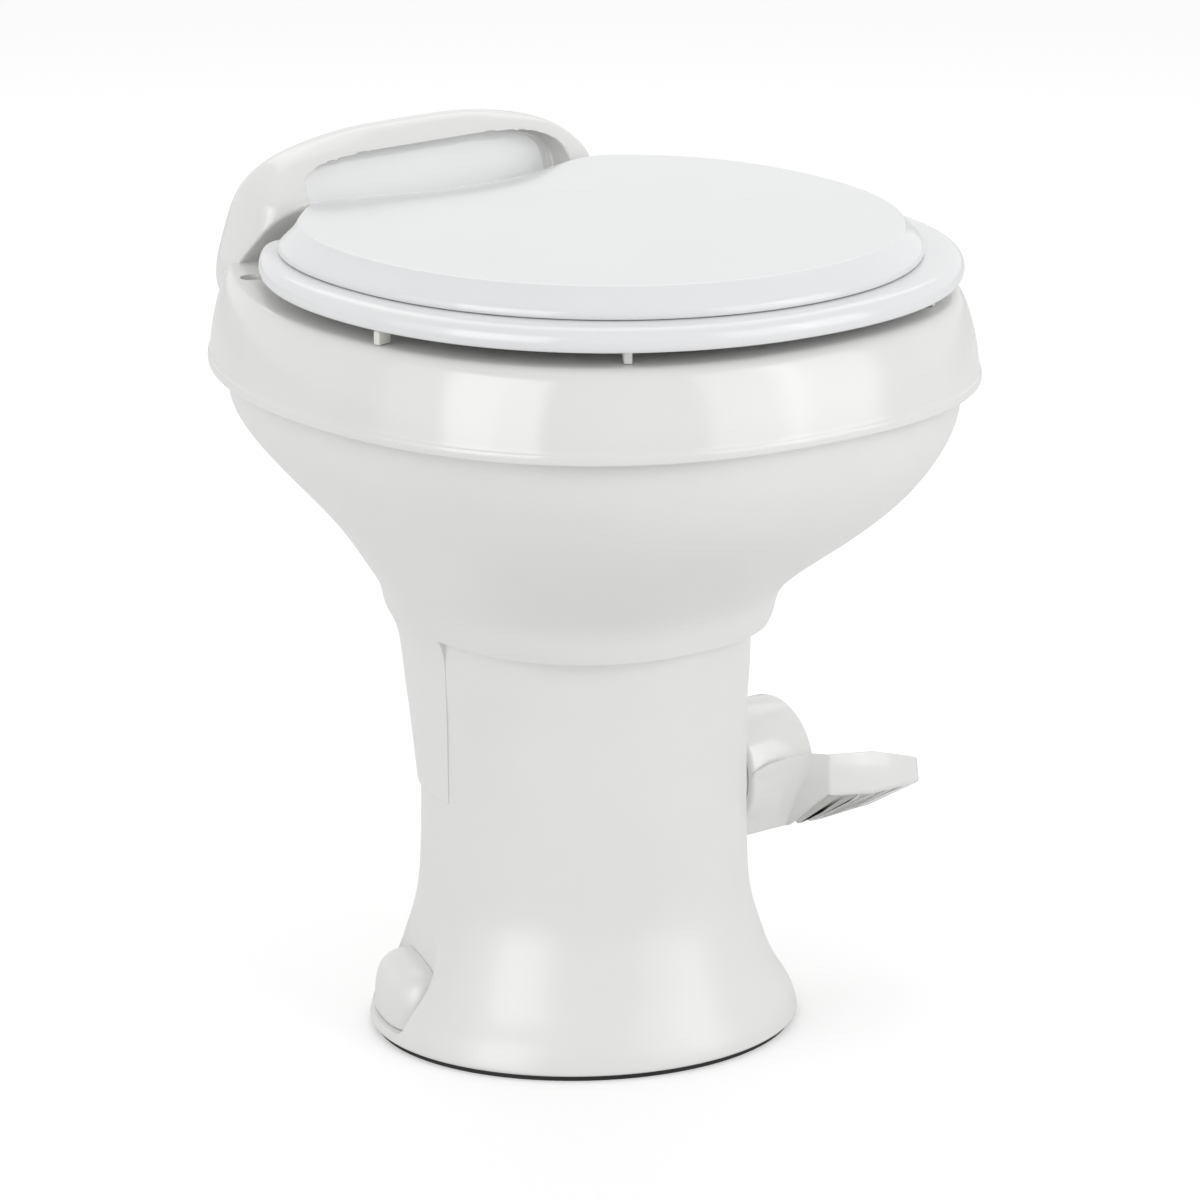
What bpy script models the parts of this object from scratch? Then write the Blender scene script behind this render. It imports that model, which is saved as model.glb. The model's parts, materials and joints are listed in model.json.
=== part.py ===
"""An RV gravity-flush toilet: pedestal, bowl, deck with hood, seat, lid, foot pedal and flush valve.

Metres, +Z up. The origin is on the pedestal's axis at the floor, the front faces -Y and the pedal is on +X.
A table whose name ends in shares gives each place as a part of the sizes that its comment names.
"""

from math import atan2, cos, pi, radians, sin, sqrt

import bmesh
import bpy
from mathutils import Matrix, Vector

MM = 0.001

# Clearances, overruns and thin edges
gap = 0.3 * MM
running_gap = 0.35 * MM
spool_clearance = 0.6 * MM
merge_distance = 0.01 * MM
overrun = 4 * MM
chamfer = 1.2 * MM
small_chamfer = 0.6 * MM

# How finely round forms are drawn
body_count = 36
round_count = 28
small_count = 16
nut_count = 6
sharp_angle = radians(35)

# Flush ball and outlet, which set how wide the pedestal has to be
outlet_radius = 28 * MM
outlet_wall = 4.5 * MM
outlet_straight = 10 * MM
ball_radius = 2 * outlet_radius
ball_wall = 4 * MM
ball_rear_angle = radians(32)
ball_front_angle = radians(60)
ball_boss_radius = 13 * MM
ball_boss_length = 16 * MM
ball_boss_sunk = 9 * MM
seal_width = 12 * MM
seal_sleeve = 6 * MM
lip_clearance = 2.9 * MM

# Pedestal
pedestal_top = 236 * MM
bore_clearance = 30.5 * MM
pedestal_wall = 4.5 * MM
neck_swell = 2 * MM
neck_low = 50 * MM
neck_high = 27 * MM
foot_spread = 32 * MM
foot_spread_front = 25.4 * MM
funnel_ledge = 2.5 * MM
ledge_height = 58 * MM
gasket_height = 2.7 * MM
gasket_setback = 3.6 * MM
# Height as a share of the flare's height, then how far it still spreads
foot_flare_shares = [
    (0.058, 1),
    (0.14, 0.946),
    (0.222, 0.83),
    (0.292, 0.695),
    (0.42, 0.48),
    (0.561, 0.345),
    (0.689, 0.22),
    (0.829, 0.108),
    (1, 0),
]
pedestal_bore = ball_radius + bore_clearance
foot_bore = pedestal_bore - funnel_ledge
waist_radius = pedestal_bore + pedestal_wall
neck_radius = waist_radius + neck_swell
foot_half_width = waist_radius + foot_spread
foot_half_depth = waist_radius + foot_spread_front

# Floor bolts. Each stands before a flat in the side of the foot, under a domed cover
flat_turn = radians(23)
flat_beyond_waist = 3 * MM
flat_floor = 9 * MM
bolt_beyond_flat = 10.5 * MM
bolt_radius = 3.1 * MM
bolt_clearance = 0.8 * MM
washer_radius = 8 * MM
washer_thickness = 1.6 * MM
nut_radius = 6.6 * MM
nut_height = 5.6 * MM
bolt_above_nut = 6.4 * MM
cover_reach = 24 * MM
cover_half_width = 42 * MM
cover_top = 42 * MM
cover_clearance = 0.6 * MM
flat_distance = waist_radius + flat_beyond_waist
bolt_distance = flat_distance + bolt_beyond_flat
bolt_x = bolt_distance * cos(flat_turn)
bolt_y = bolt_distance * sin(flat_turn)
bolt_hole = bolt_radius + bolt_clearance

# Shaft, crank and the bosses that carry them
shaft_height = 125.5 * MM
shaft_radius = 7 * MM
boss_radius = 31 * MM
boss_outside = 6.5 * MM
boss_inside = 6.5 * MM
left_boss_radius = 21 * MM
bush_radius = 12 * MM
bush_flange_radius = 16 * MM
bush_flange = 2 * MM
cartridge_radius = 18 * MM
cartridge_clearance = 1 * MM
cartridge_wall_gap = 4.5 * MM
crank_radius = 21.3 * MM
crank_clearance = 3 * MM
crank_thickness = 4 * MM
crank_throw = 18 * MM
crank_pin_radius = 2.5 * MM
crank_pin_length = 7 * MM
ball_boss_inner = ball_radius - ball_boss_sunk
ball_boss_outer = ball_boss_inner + ball_boss_length
boss_outer = waist_radius + boss_outside
boss_inner = pedestal_bore - boss_inside
cartridge_inner = ball_boss_outer + cartridge_clearance
cartridge_outer = pedestal_bore - cartridge_wall_gap
crank_x = ball_boss_outer + crank_clearance

# Water valve at the right rear of the pedestal, worked by the crank's pin in a fork
spool_radius = 4 * MM
spool_drop = 25.9 * MM
spool_reach = 54 * MM
fork_half_depth = 8 * MM
fork_thickness = 5 * MM
fork_slot_clearance = 1.4 * MM
fork_above_spool = 17.7 * MM
fork_below_spool = 4.6 * MM
fork_slot_above = 2.2 * MM
rod_sunk = 1 * MM
valve_half_width = 15 * MM
valve_half_height = 14 * MM
valve_front = 42 * MM
valve_length = 56 * MM
valve_bore_length = 42 * MM
inlet_radius = 10 * MM
inlet_length = 20 * MM
inlet_bore = 6.5 * MM
inlet_collar_radius = 14 * MM
inlet_collar = 7 * MM
barb_radius = 6 * MM
barb_tip_radius = 5.2 * MM
barb_bore = 3.4 * MM
barb_length = 12 * MM
barb_from_rear = 23 * MM
fork_slot = crank_pin_radius + fork_slot_clearance
fork_low_x = crank_x + crank_thickness + running_gap
fork_high_x = fork_low_x + fork_thickness
spool_x = (fork_low_x + fork_high_x) / 2
spool_height = shaft_height - spool_drop
spool_end = fork_half_depth + spool_reach
valve_rear = valve_front + valve_length
valve_bottom = spool_height - valve_half_height

# Pedal on the right, along X
hub_radius = 36 * MM
hub_clearance = 0.7 * MM
hub_length = 36.8 * MM
hub_chamfer = 5 * MM
hub_recess_radius = 22 * MM
hub_recess = 6 * MM
pedal_length = 99.8 * MM
pedal_wall = 3.2 * MM
pedal_tip_wall = 9.6 * MM
pedal_rib = 2.4 * MM
pedal_rib_count = 5
pedal_corner = 3 * MM
pedal_corner_count = 3
pocket_half_width = 25 * MM
pocket_depth = 9 * MM
pocket_overrun = 12 * MM
screw_head_radius = 7.5 * MM
screw_head = 4 * MM
# Place along the pedal's length, then the section's four corners as Y and Z from the shaft in hub radii
pedal_shares = [
    (0.018, (-1.25, -0.181), (0.056, -1.264), (0.333, -0.708), (-1.194, 0.208)),
    (0.138, (-1.278, -0.181), (0.056, -1.264), (0.333, -0.653), (-1.222, 0.264)),
    (0.218, (-1.444, -0.236), (-0.056, -1.208), (0.25, -0.597), (-1.389, 0.431)),
    (0.299, (-1.694, -0.292), (-0.25, -1.153), (0.111, -0.542), (-1.611, 0.486)),
    (0.619, (-1.75, -0.292), (-0.333, -1.125), (-0.083, -0.736), (-1.667, 0.292)),
    (0.9, (-1.75, -0.292), (-0.333, -1.125), (-0.139, -0.819), (-1.681, 0.056)),
    (0.97, (-1.667, -0.336), (-0.417, -1.069), (-0.25, -0.819), (-1.611, -0.014)),
    (1, (-1.5, -0.419), (-0.583, -0.958), (-0.472, -0.792), (-1.458, -0.153)),
]
hub_inner = boss_outer + hub_clearance
hub_outer = hub_inner + hub_length
pedal_tip = hub_inner + pedal_length

# Outlet funnel inside the pedestal
funnel_wall = 3 * MM
funnel_throat = 42 * MM
funnel_throat_height = 26 * MM
funnel_bottom = 3.4 * MM
funnel_flange = 3 * MM

# Levels above the pedestal
skirt_drop = 2.7 * MM
apron_clearance = 4.4 * MM
bowl_height = 169 * MM
deck_rise = 19 * MM
seat_lift = 8 * MM
seat_thickness = 10.6 * MM
lid_thickness = 20.1 * MM
hinge_above_seat = 12 * MM
skirt_bottom = pedestal_top - skirt_drop
apron_bottom = spool_height + valve_half_height + barb_length + apron_clearance
rim_height = pedestal_top + bowl_height
deck_height = rim_height + deck_rise
seat_underside = deck_height + seat_lift
seat_top = seat_underside + seat_thickness
lid_bottom = seat_top + gap
lid_top = lid_bottom + lid_thickness
hinge_height = seat_underside + hinge_above_seat

# Deck: the ring round the bowl with the band below it, reaching front and rear of the axis
deck_half_width = 199 * MM
deck_front = 216 * MM
deck_rear = 216 * MM
deck_rear_bow = 12 * MM
deck_centre = -12 * MM
deck_front_power = 2.33
deck_rear_power = 2
deck_wall = 4 * MM
band_depth = 49.5 * MM
band_lean = 15 * MM
# Height as a share of the band's depth, then inset as a share of its lean
band_shares = [
    (0, 0.08),
    (0.03, 0),
    (0.232, 0.067),
    (0.515, 0.24),
    (0.737, 0.44),
    (0.879, 0.6),
    (0.952, 0.747),
    (1, 1),
]
band_hollow_shares = [(0, 0.04), (0.232, 0.107), (0.515, 0.267), (0.737, 0.467), (0.911, 0.733)]
ring_side = 59 * MM
ring_front = 48 * MM
ring_rear = 16 * MM
opening_centre = -40 * MM
opening_power = 2.2
opening_lip = 4 * MM
rear_block_setback = 8 * MM
rear_block_clearance = 0.6 * MM
band_bottom = deck_height - band_depth
opening_half_width = deck_half_width - ring_side
opening_front = deck_front - ring_front

# Hinge of the seat and lid, in a trough ahead of the hood
hinge_from_rear = 124 * MM
post_inner = 64 * MM
post_width = 12 * MM
post_radius = 8 * MM
pin_radius = 4 * MM
pin_end = 1.5 * MM
lug_radius = 8 * MM
lug_gap = 0.4 * MM
seat_lug_width = 12.6 * MM
lid_lug_width = 11.6 * MM
lid_lug_below_top = 4.4 * MM
notch_clearance = 1.6 * MM
trough_wall = 4.4 * MM
trough_behind_hood = 11 * MM
post_outer = post_inner + post_width
seat_lug_inner = post_outer + lug_gap
seat_lug_outer = seat_lug_inner + seat_lug_width
lid_lug_outer = post_inner - lug_gap
lid_lug_inner = lid_lug_outer - lid_lug_width
pin_inner = lid_lug_inner - pin_end
pin_outer = seat_lug_outer + pin_end
hinge_y = deck_rear - hinge_from_rear
trough_front = hinge_y - post_radius
rear_block_front = trough_front - rear_block_setback
rear_block_floor = rim_height + rear_block_clearance
trough_floor = rear_block_floor + trough_wall
opening_rear = rear_block_front - ring_rear

# Bowl's outer skin. It spreads from the bore round the pedestal's neck to these reaches under the band
side_setback = 9 * MM
front_setback = 8 * MM
rear_setback = 21 * MM
bowl_centre = -14 * MM
skin_wall = 3.6 * MM
neck_ledge_width = 12.35 * MM
neck_ledge = 4 * MM
rim_round = 2.9 * MM
rim_edge = 2.4 * MM
rim_flange = 4 * MM
bowl_half_width = deck_half_width - side_setback
bowl_front = deck_front - front_setback
bowl_rear = deck_rear - rear_setback
bowl_bore = neck_radius + running_gap
# Height as a share from the apron's foot to the pedestal's top, then shares of the spread to the side, the
# front and the rear, a share of the centre's place, and the outline's power
apron_shares = [
    (0, 0.023, 0.023, 0.026, 0, 2),
    (0.406, 0.038, 0.032, 0.09, 0, 2.1),
    (0.679, 0.042, 0.035, 0.129, 0, 2.3),
    (0.906, 0.048, 0.041, 0.174, 0, 2.4),
]
# The same, with the height as a share from the pedestal's top to the rim
flare_shares = [
    (0.012, 0.073, 0.067, 0.203, 0, 2.4),
    (0.083, 0.116, 0.08, 0.224, 0.07, 2.2),
    (0.154, 0.209, 0.167, 0.25, 0.21, 2.2),
    (0.237, 0.322, 0.326, 0.282, 0.57, 2.25),
    (0.32, 0.43, 0.504, 0.333, 0.93, 2.3),
    (0.408, 0.559, 0.676, 0.434, 1, 2.3),
    (0.497, 0.697, 0.822, 0.584, 1, 2.3),
    (0.615, 0.862, 0.942, 0.802, 0.86, 2.3),
    (0.746, 1, 1, 1, 0.86, 2.3),
    (0.899, 0.974, 0.983, 0.99, 0.86, 2.3),
    (0.986, 0.932, 0.948, 0.951, 0.86, 2.3),
]

# Basin. It spreads from the outlet to the deck's opening. Height as a share from the outlet to the rim, then
# shares of the spread to the side, the front and the rear, a share of the centre's place, and the power
basin_setback = 2 * MM
basin_wall = 3.6 * MM
basin_shares = [
    (0.968, 0.998, 0.998, 1, 1, 2.2),
    (0.849, 0.982, 0.993, 0.98, 0.975, 2.2),
    (0.702, 0.895, 0.887, 0.93, 0.85, 2.15),
    (0.546, 0.746, 0.69, 0.83, 0.625, 2.1),
    (0.39, 0.553, 0.451, 0.68, 0.375, 2.05),
    (0.243, 0.351, 0.246, 0.486, 0.15, 2),
    (0.115, 0.167, 0.109, 0.29, 0.025, 2),
    (0.032, 0.048, 0.032, 0.11, 0, 2),
]
basin_half_width = opening_half_width + basin_setback
basin_front = opening_front + basin_setback
basin_rear = opening_rear + basin_setback
apron_front_y = 6 * MM
hub_relief_clearance = 3 * MM
hub_relief_depth = 13.5 * MM
hub_relief = hub_radius + hub_relief_clearance

# Hood behind the lid
lid_behind_hinge = 27 * MM
lid_hood_gap = 4 * MM
hood_width_share = 0.608
hood_root = 20 * MM
hood_rise = 66.5 * MM
hood_setback = 26 * MM
hood_power = 4
hood_wall = 5 * MM
# The hood leans back as it rises. Shares of its height, its half-width, and its depth to the front and the rear
hood_shares = [
    (0, 0.87, -0.052, 0.881),
    (0.104, 0.946, -0.052, 0.955),
    (0.243, 1, -0.052, 1),
    (0.428, 0.996, -0.052, 0.985),
    (0.613, 0.975, -0.037, 0.91),
    (0.717, 0.929, 0.045, 0.858),
    (0.809, 0.858, 0.179, 0.776),
    (0.89, 0.753, 0.261, 0.701),
    (0.954, 0.552, 0.358, 0.664),
    (0.99, 0.385, 0.41, 0.619),
    (1, 0.234, 0.455, 0.575),
]
hood_leg = 27 * MM
recess_depth = 27 * MM
recess_lip = 7 * MM
recess_lean = 7 * MM
# Shares of the window's height, its half-width and how far its panel has leant back
window_shares = [
    (0, 1, 0),
    (0.12, 1, 0.14),
    (0.34, 0.984, 0.36),
    (0.544, 0.946, 0.57),
    (0.714, 0.88, 0.71),
    (0.837, 0.761, 0.86),
    (0.912, 0.543, 0.93),
    (1, 0.217, 1),
]
panel_rise = 30 * MM
well_depth = 5 * MM
leg_cut_depth = 33 * MM
leg_cut_ahead = 20 * MM
trough_setback = 2 * MM
hood_hollow_side = 7 * MM
lid_edge_y = hinge_y + lid_behind_hinge
hood_front = lid_edge_y + lid_hood_gap
hood_rear = deck_rear - hood_setback
hood_half_width = deck_half_width * hood_width_share
hood_foot = deck_height - hood_root
hood_top = deck_height + hood_rise
recess_half_width = hood_half_width - hood_leg
panel_bottom = deck_height + panel_rise
window_top = hood_top - recess_lip
recess_back = hood_front + recess_depth
hood_hollow_front = recess_back + recess_lean + hood_wall
trough_half_width = hood_half_width - trough_setback
trough_rear = hood_front + trough_behind_hood

# Deck screws, in round recesses beside the hood
deck_screw_beside = 17 * MM
deck_screw_ahead = 5 * MM
deck_screw_recess = 7 * MM
deck_screw_depth = 5 * MM
deck_screw_head = 5.6 * MM
deck_screw_head_height = 2.6 * MM
deck_screw_shank = 2.1 * MM
deck_screw_length = 12 * MM

# Seat
seat_setback = 11 * MM
seat_front_setback = 2 * MM
seat_rear_setback = 50 * MM
seat_centre = -20 * MM
seat_front_power = 2.3
seat_rear_power = 2.1
seat_round = 8 * MM
# Height as a share of the thickness, then inset as a share of the rounding: outside, then inside
seat_shares = [(0, 1), (0.151, 0.425), (0.377, 0.088), (0.566, 0), (0.774, 0.113), (0.943, 0.45), (1, 0.875)]
seat_hole_shares = [(1, 0.75), (0.887, 0.3), (0.623, 0), (0.283, 0.025), (0, 0.375)]
hole_side = 36 * MM
hole_front = 10 * MM
hole_rear = 2 * MM
seat_hole_centre = -32 * MM
seat_hole_power = 2.1
seat_behind_hinge = 5 * MM
seat_corner_behind_hinge = 16 * MM
seat_half_width = deck_half_width - seat_setback
seat_front = deck_front - seat_front_setback
seat_rear = deck_rear - seat_rear_setback
seat_hole_half_width = opening_half_width - hole_side
seat_hole_front = opening_front - hole_front
seat_hole_rear = opening_rear - hole_rear

# Four bumpers under the seat, placed by shares of its half-width and its reach to the front
bumper_radius = 7 * MM
bumper_tip_radius = 5.4 * MM
bumper_shares = [("front", 0.553, 0.776), ("middle", 0.915, 0.29)]

# Lid
lid_setback = 16 * MM
lid_rear_setback = 14 * MM
lid_centre = -18 * MM
lid_front_power = 2.25
lid_rear_power = 2.2
lid_wall = 4 * MM
lid_crown = 112 * MM
# Height as a share of the thickness, then inset as a share of the crown: outside, then inside
lid_shares = [
    (0, 0.0125),
    (0.104, 0),
    (0.303, 0.007),
    (0.527, 0.034),
    (0.721, 0.077),
    (0.851, 0.134),
    (0.94, 0.304),
    (0.99, 0.714),
    (1, 1),
]
lid_hollow_shares = [(0, 0.0125), (0.154, 0.0054), (0.453, 0.032), (0.652, 0.08), (0.731, 0.161), (0.791, 0.5)]
lid_edge_bow = 21 * MM
lid_edge_half_width = 82 * MM
lid_edge_count = 12
lid_notch_below_top = 6 * MM
lid_half_width = seat_half_width - lid_setback
lid_front = seat_front - lid_setback
lid_rear = seat_rear - lid_rear_setback

# Rinse nozzle at the rear of the basin
nozzle_below_rim = 21 * MM
nozzle_radius = 8 * MM
nozzle_flange = 3 * MM
nozzle_flange_clear = 1 * MM
nozzle_behind = 12 * MM
nozzle_hole_reach = 8 * MM
nozzle_stem = 5.6 * MM
nozzle_bore = 3 * MM


def start_empty():
    for item in list(bpy.data.objects):
        bpy.data.objects.remove(item, do_unlink=True)
    for old in list(bpy.data.collections):
        bpy.data.collections.remove(old)


def new_collection(name):
    made = bpy.data.collections.new(name)
    bpy.context.scene.collection.children.link(made)
    return made


def material(name, colour, roughness, metallic=0):
    made = bpy.data.materials.new(name)
    made.use_nodes = True
    shader = made.node_tree.nodes["Principled BSDF"]
    shader.inputs["Base Color"].default_value = (*colour, 1)
    shader.inputs["Roughness"].default_value = roughness
    shader.inputs["Metallic"].default_value = metallic
    made.diffuse_color = (*colour, 1)
    return made


def place(item, name, surface=None):
    """Names the object and files it with the parts, or with the cutters if it has no surface."""
    item.name = name
    item.data.name = name
    for held in list(item.users_collection):
        held.objects.unlink(item)
    if surface is None:
        cutters.objects.link(item)
        item.hide_render = True
        item.display_type = "WIRE"
    else:
        parts.objects.link(item)
        item.data.materials.clear()
        item.data.materials.append(surface)
        item.data.shade_smooth()
        item.data.set_sharp_from_angle(angle=sharp_angle)
    return item


def object_from(mesh_maker):
    mesh = bpy.data.meshes.new("mesh")
    body = bmesh.new()
    mesh_maker(body)
    bmesh.ops.recalc_face_normals(body, faces=body.faces)
    body.to_mesh(mesh)
    body.free()
    return bpy.data.objects.new("mesh", mesh)


def between(start, end, share):
    return start + share * (end - start)


def egg(half_width, front, rear, centre, front_power, rear_power):
    """An outline that is widest at centre and reaches front and rear of the axis. A higher power is squarer."""
    outline = []
    for step in range(body_count):
        turn = 2 * pi * step / body_count
        across = cos(turn)
        along = sin(turn)
        power = rear_power if along > 0 else front_power
        reach = rear - centre if along > 0 else front + centre
        x = half_width * (1 if across > 0 else -1) * abs(across) ** (2 / power)
        y = reach * (1 if along > 0 else -1) * abs(along) ** (2 / power)
        outline.append((x, centre + y))
    return outline


def circle(radius):
    return egg(radius, radius, radius, 0, 2, 2)


def strip(body, rings, closed=False):
    """Faces between each ring of points and the next. A closed strip runs back to its first ring."""
    pairs = list(zip(rings, rings[1:]))
    if closed:
        pairs.append((rings[-1], rings[0]))
    for low, high in pairs:
        for i in range(len(low)):
            j = (i + 1) % len(low)
            body.faces.new((low[i], low[j], high[j], high[i]))
    if not closed:
        body.faces.new(rings[0])
        body.faces.new(rings[-1])


def loft(sections, closed=False):
    """Skins a stack of outlines, each with its height."""

    def skin(body):
        rings = [[body.verts.new((x, y, z)) for x, y in outline] for outline, z in sections]
        strip(body, rings, closed)

    return object_from(skin)


def loft_along_x(sections):
    """Skins outlines in Y and Z, each with its place along X."""

    def skin(body):
        rings = [[body.verts.new((x, y, z)) for y, z in outline] for outline, x in sections]
        strip(body, rings)

    return object_from(skin)


def box(low, high):
    """A box between two corners."""
    size = Vector(high) - Vector(low)

    def fill(body):
        bmesh.ops.create_cube(body, size=1)
        bmesh.ops.scale(body, vec=size, verts=body.verts)

    item = object_from(fill)
    item.location = (Vector(low) + Vector(high)) / 2
    return item


def rod(radius, start, end, count=small_count, end_radius=None):
    """A round bar from start to end, or a cone where it has an end radius."""
    start, end = Vector(start), Vector(end)
    length = (end - start).length
    tip = radius if end_radius is None else end_radius

    def fill(body):
        bmesh.ops.create_cone(body, cap_ends=True, segments=count, radius1=radius, radius2=tip, depth=length)

    item = object_from(fill)
    item.location = (start + end) / 2
    item.rotation_euler = (end - start).to_track_quat("Z", "Y").to_euler()
    return item


def shaft_rod(radius, start_x, end_x, count=small_count):
    return rod(radius, (start_x, 0, shaft_height), (end_x, 0, shaft_height), count)


turn_to = {"Z": (0, 0, 0), "X": (0, pi / 2, 0), "-X": (0, -pi / 2, 0), "Y": (-pi / 2, 0, 0)}


def turned(profile, count=small_count, axis="Z", location=(0, 0, 0)):
    """A profile of radius and height turned about an axis. One that starts off the axis is closed first."""
    mesh = bpy.data.meshes.new("mesh")
    total = len(profile)
    edges = [(i, i + 1) for i in range(total - 1)]
    if profile[0][0] > 0:
        edges.append((total - 1, 0))
    mesh.from_pydata([(radius, 0, height) for radius, height in profile], edges, [])
    item = bpy.data.objects.new("mesh", mesh)
    screw = item.modifiers.new("turn", "SCREW")
    screw.angle = 2 * pi
    screw.steps = count
    screw.render_steps = count
    screw.use_merge_vertices = True
    screw.merge_threshold = merge_distance
    screw.use_smooth_shade = True
    item.location = location
    item.rotation_euler = turn_to[axis]
    return item


def combine(target, other, operation):
    change = target.modifiers.new(operation.lower(), "BOOLEAN")
    change.operation = operation
    change.solver = "EXACT"
    change.object = other
    return target


def cut(target, cutter, name):
    return combine(target, place(cutter, name), "DIFFERENCE")


def join(target, other, name):
    return combine(target, place(other, name), "UNION")


sides = (("left", -1), ("right", 1))


def on_side(side, inner_x, outer_x):
    """The low and high X of what lies between two distances from the middle, on one side."""
    return sorted((inner_x * side, outer_x * side))


def foot_outline(setback):
    depth = foot_half_depth - setback
    return egg(foot_half_width - setback, depth, depth, 0, 2, 2)


def box_on_foot(low, high, side):
    """A box given as if its flat faced the right side, then turned round the axis to where that flat faces."""
    item = box(low, high)
    turn = flat_turn if side > 0 else pi - flat_turn
    item.location.rotate(Matrix.Rotation(turn, 3, "Z"))
    item.rotation_euler.z = turn
    return item


def build_pedestal():
    foot = gasket_height + gap
    outer = [(foot_outline(chamfer), foot)]
    for height_share, spread_share in foot_flare_shares:
        half_width = between(waist_radius, foot_half_width, spread_share)
        half_depth = between(waist_radius, foot_half_depth, spread_share)
        outer.append((egg(half_width, half_depth, half_depth, 0, 2, 2), valve_bottom * height_share))
    outer += [
        (circle(waist_radius), pedestal_top - neck_low),
        (circle(neck_radius), pedestal_top - neck_high),
        (circle(neck_radius), pedestal_top - chamfer),
        (circle(neck_radius - chamfer), pedestal_top),
    ]
    inner = [
        (circle(pedestal_bore), pedestal_top),
        (circle(pedestal_bore), ledge_height),
        (circle(foot_bore), ledge_height),
        (circle(foot_bore), foot),
    ]
    pedestal = place(loft(outer + inner, closed=True), "pedestal", white_plastic)
    join(pedestal, shaft_rod(boss_radius, boss_inner, boss_outer, round_count), "pedestal_boss")
    left_start = -(pedestal_bore + pedestal_wall / 2)
    join(pedestal, shaft_rod(left_boss_radius, left_start, -(cartridge_outer + gap)), "pedestal_left_boss")
    cut(pedestal, shaft_rod(bush_radius + gap, boss_inner - overrun, boss_outer + overrun), "bush_hole")
    for name, side in sides:
        spot = (bolt_x * side, bolt_y)
        far = foot_half_width
        flat = box_on_foot((flat_distance, -far, flat_floor), (flat_distance + far, far, valve_bottom), side)
        cut(pedestal, flat, "flat_" + name)
        cut(pedestal, rod(bolt_hole, (*spot, -overrun), (*spot, flat_floor + overrun)), "bolt_hole_" + name)
    spool_start = (spool_x, 0, spool_height)
    spool_exit = (spool_x, waist_radius, spool_height)
    cut(pedestal, rod(spool_radius + spool_clearance, spool_start, spool_exit), "spool_hole")


def dome(side):
    """A dome as high as a bolt's cover, centred where a flat meets the floor."""

    def fill(body):
        bmesh.ops.create_uvsphere(body, u_segments=round_count, v_segments=small_count, radius=1)
        bmesh.ops.scale(body, vec=(cover_reach, cover_half_width, cover_top), verts=body.verts)

    turn = flat_turn if side > 0 else pi - flat_turn
    item = object_from(fill)
    item.location = (flat_distance * cos(turn), flat_distance * sin(turn), 0)
    item.rotation_euler.z = turn
    return item


def build_floor_pieces():
    gasket = [
        (foot_outline(gasket_setback), 0),
        (foot_outline(gasket_setback), gasket_height),
        (circle(foot_bore), gasket_height),
        (circle(foot_bore), 0),
    ]
    seal = place(loft(gasket, closed=True), "base_gasket", black_rubber)
    washer_low = flat_floor + gap
    washer_high = washer_low + washer_thickness
    nut_low = washer_high + gap
    nut_high = nut_low + nut_height
    bolt_top = nut_high + bolt_above_nut
    washer = [
        (washer_radius, washer_high),
        (washer_radius, washer_low),
        (bolt_radius + gap, washer_low),
        (bolt_radius + gap, washer_high),
    ]
    bolt = [
        (0, bolt_top),
        (bolt_radius - small_chamfer, bolt_top),
        (bolt_radius, bolt_top - chamfer),
        (bolt_radius, 0),
        (0, 0),
    ]
    for name, side in sides:
        spot = (bolt_x * side, bolt_y)
        cut(seal, rod(bolt_hole, (*spot, -overrun), (*spot, flat_floor)), "gasket_hole_" + name)
        place(turned(washer, location=(*spot, 0)), "floor_washer_" + name, steel)
        nut = place(rod(nut_radius, (*spot, nut_low), (*spot, nut_high), nut_count), "floor_nut_" + name, steel)
        cut(nut, rod(bolt_radius + gap, (*spot, 0), (*spot, bolt_top)), "nut_hole_" + name)
        place(turned(bolt, location=(*spot, 0)), "floor_bolt_" + name, brass)
        cover = place(dome(side), "bolt_cover_" + name, white_plastic)
        far = 2 * foot_half_width
        cut(cover, box((-far, -far, -far), (far, far, washer_low)), "cover_floor_" + name)
        behind = box_on_foot((-far, -far, -far), (flat_distance + gap, far, far), side)
        cut(cover, behind, "cover_back_" + name)
        nut_room = washer_radius + cover_clearance
        cut(cover, rod(nut_room, (*spot, 0), (*spot, nut_high + cover_clearance)), "nut_room_" + name)
        cut(cover, rod(bolt_hole, (*spot, 0), (*spot, bolt_top + cover_clearance)), "bolt_room_" + name)


def skin_row(row, low, high, inset=0.0):
    """An outline of the bowl's skin from a row of shares, with its height between two levels."""
    height_share, side_share, front_share, rear_share, centre_share, power = row
    outline = egg(
        between(bowl_bore, bowl_half_width, side_share) - inset,
        between(bowl_bore, bowl_front, front_share) - inset,
        between(bowl_bore, bowl_rear, rear_share) - inset,
        bowl_centre * centre_share,
        power,
        power,
    )
    return outline, between(low, high, height_share)


def basin_row(row, grow=0.0):
    """An outline of the basin from a row of shares, with its height. One that grows is as much lower."""
    height_share, side_share, front_share, rear_share, centre_share, power = row
    outline = egg(
        between(outlet_radius, basin_half_width, side_share) + grow,
        between(outlet_radius, basin_front, front_share) + grow,
        between(outlet_radius, basin_rear, rear_share) + grow,
        opening_centre * centre_share,
        power,
        power,
    )
    return outline, between(spout_top, rim_height, height_share) - grow


def on_ball(radius):
    """The height at which a ring of this radius runs clear of the flush ball."""
    clear = ball_radius + running_gap
    return shaft_height + sqrt(clear * clear - radius * radius)


outlet_lip = on_ball(outlet_radius) + lip_clearance
spout_top = outlet_lip + outlet_straight


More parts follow.
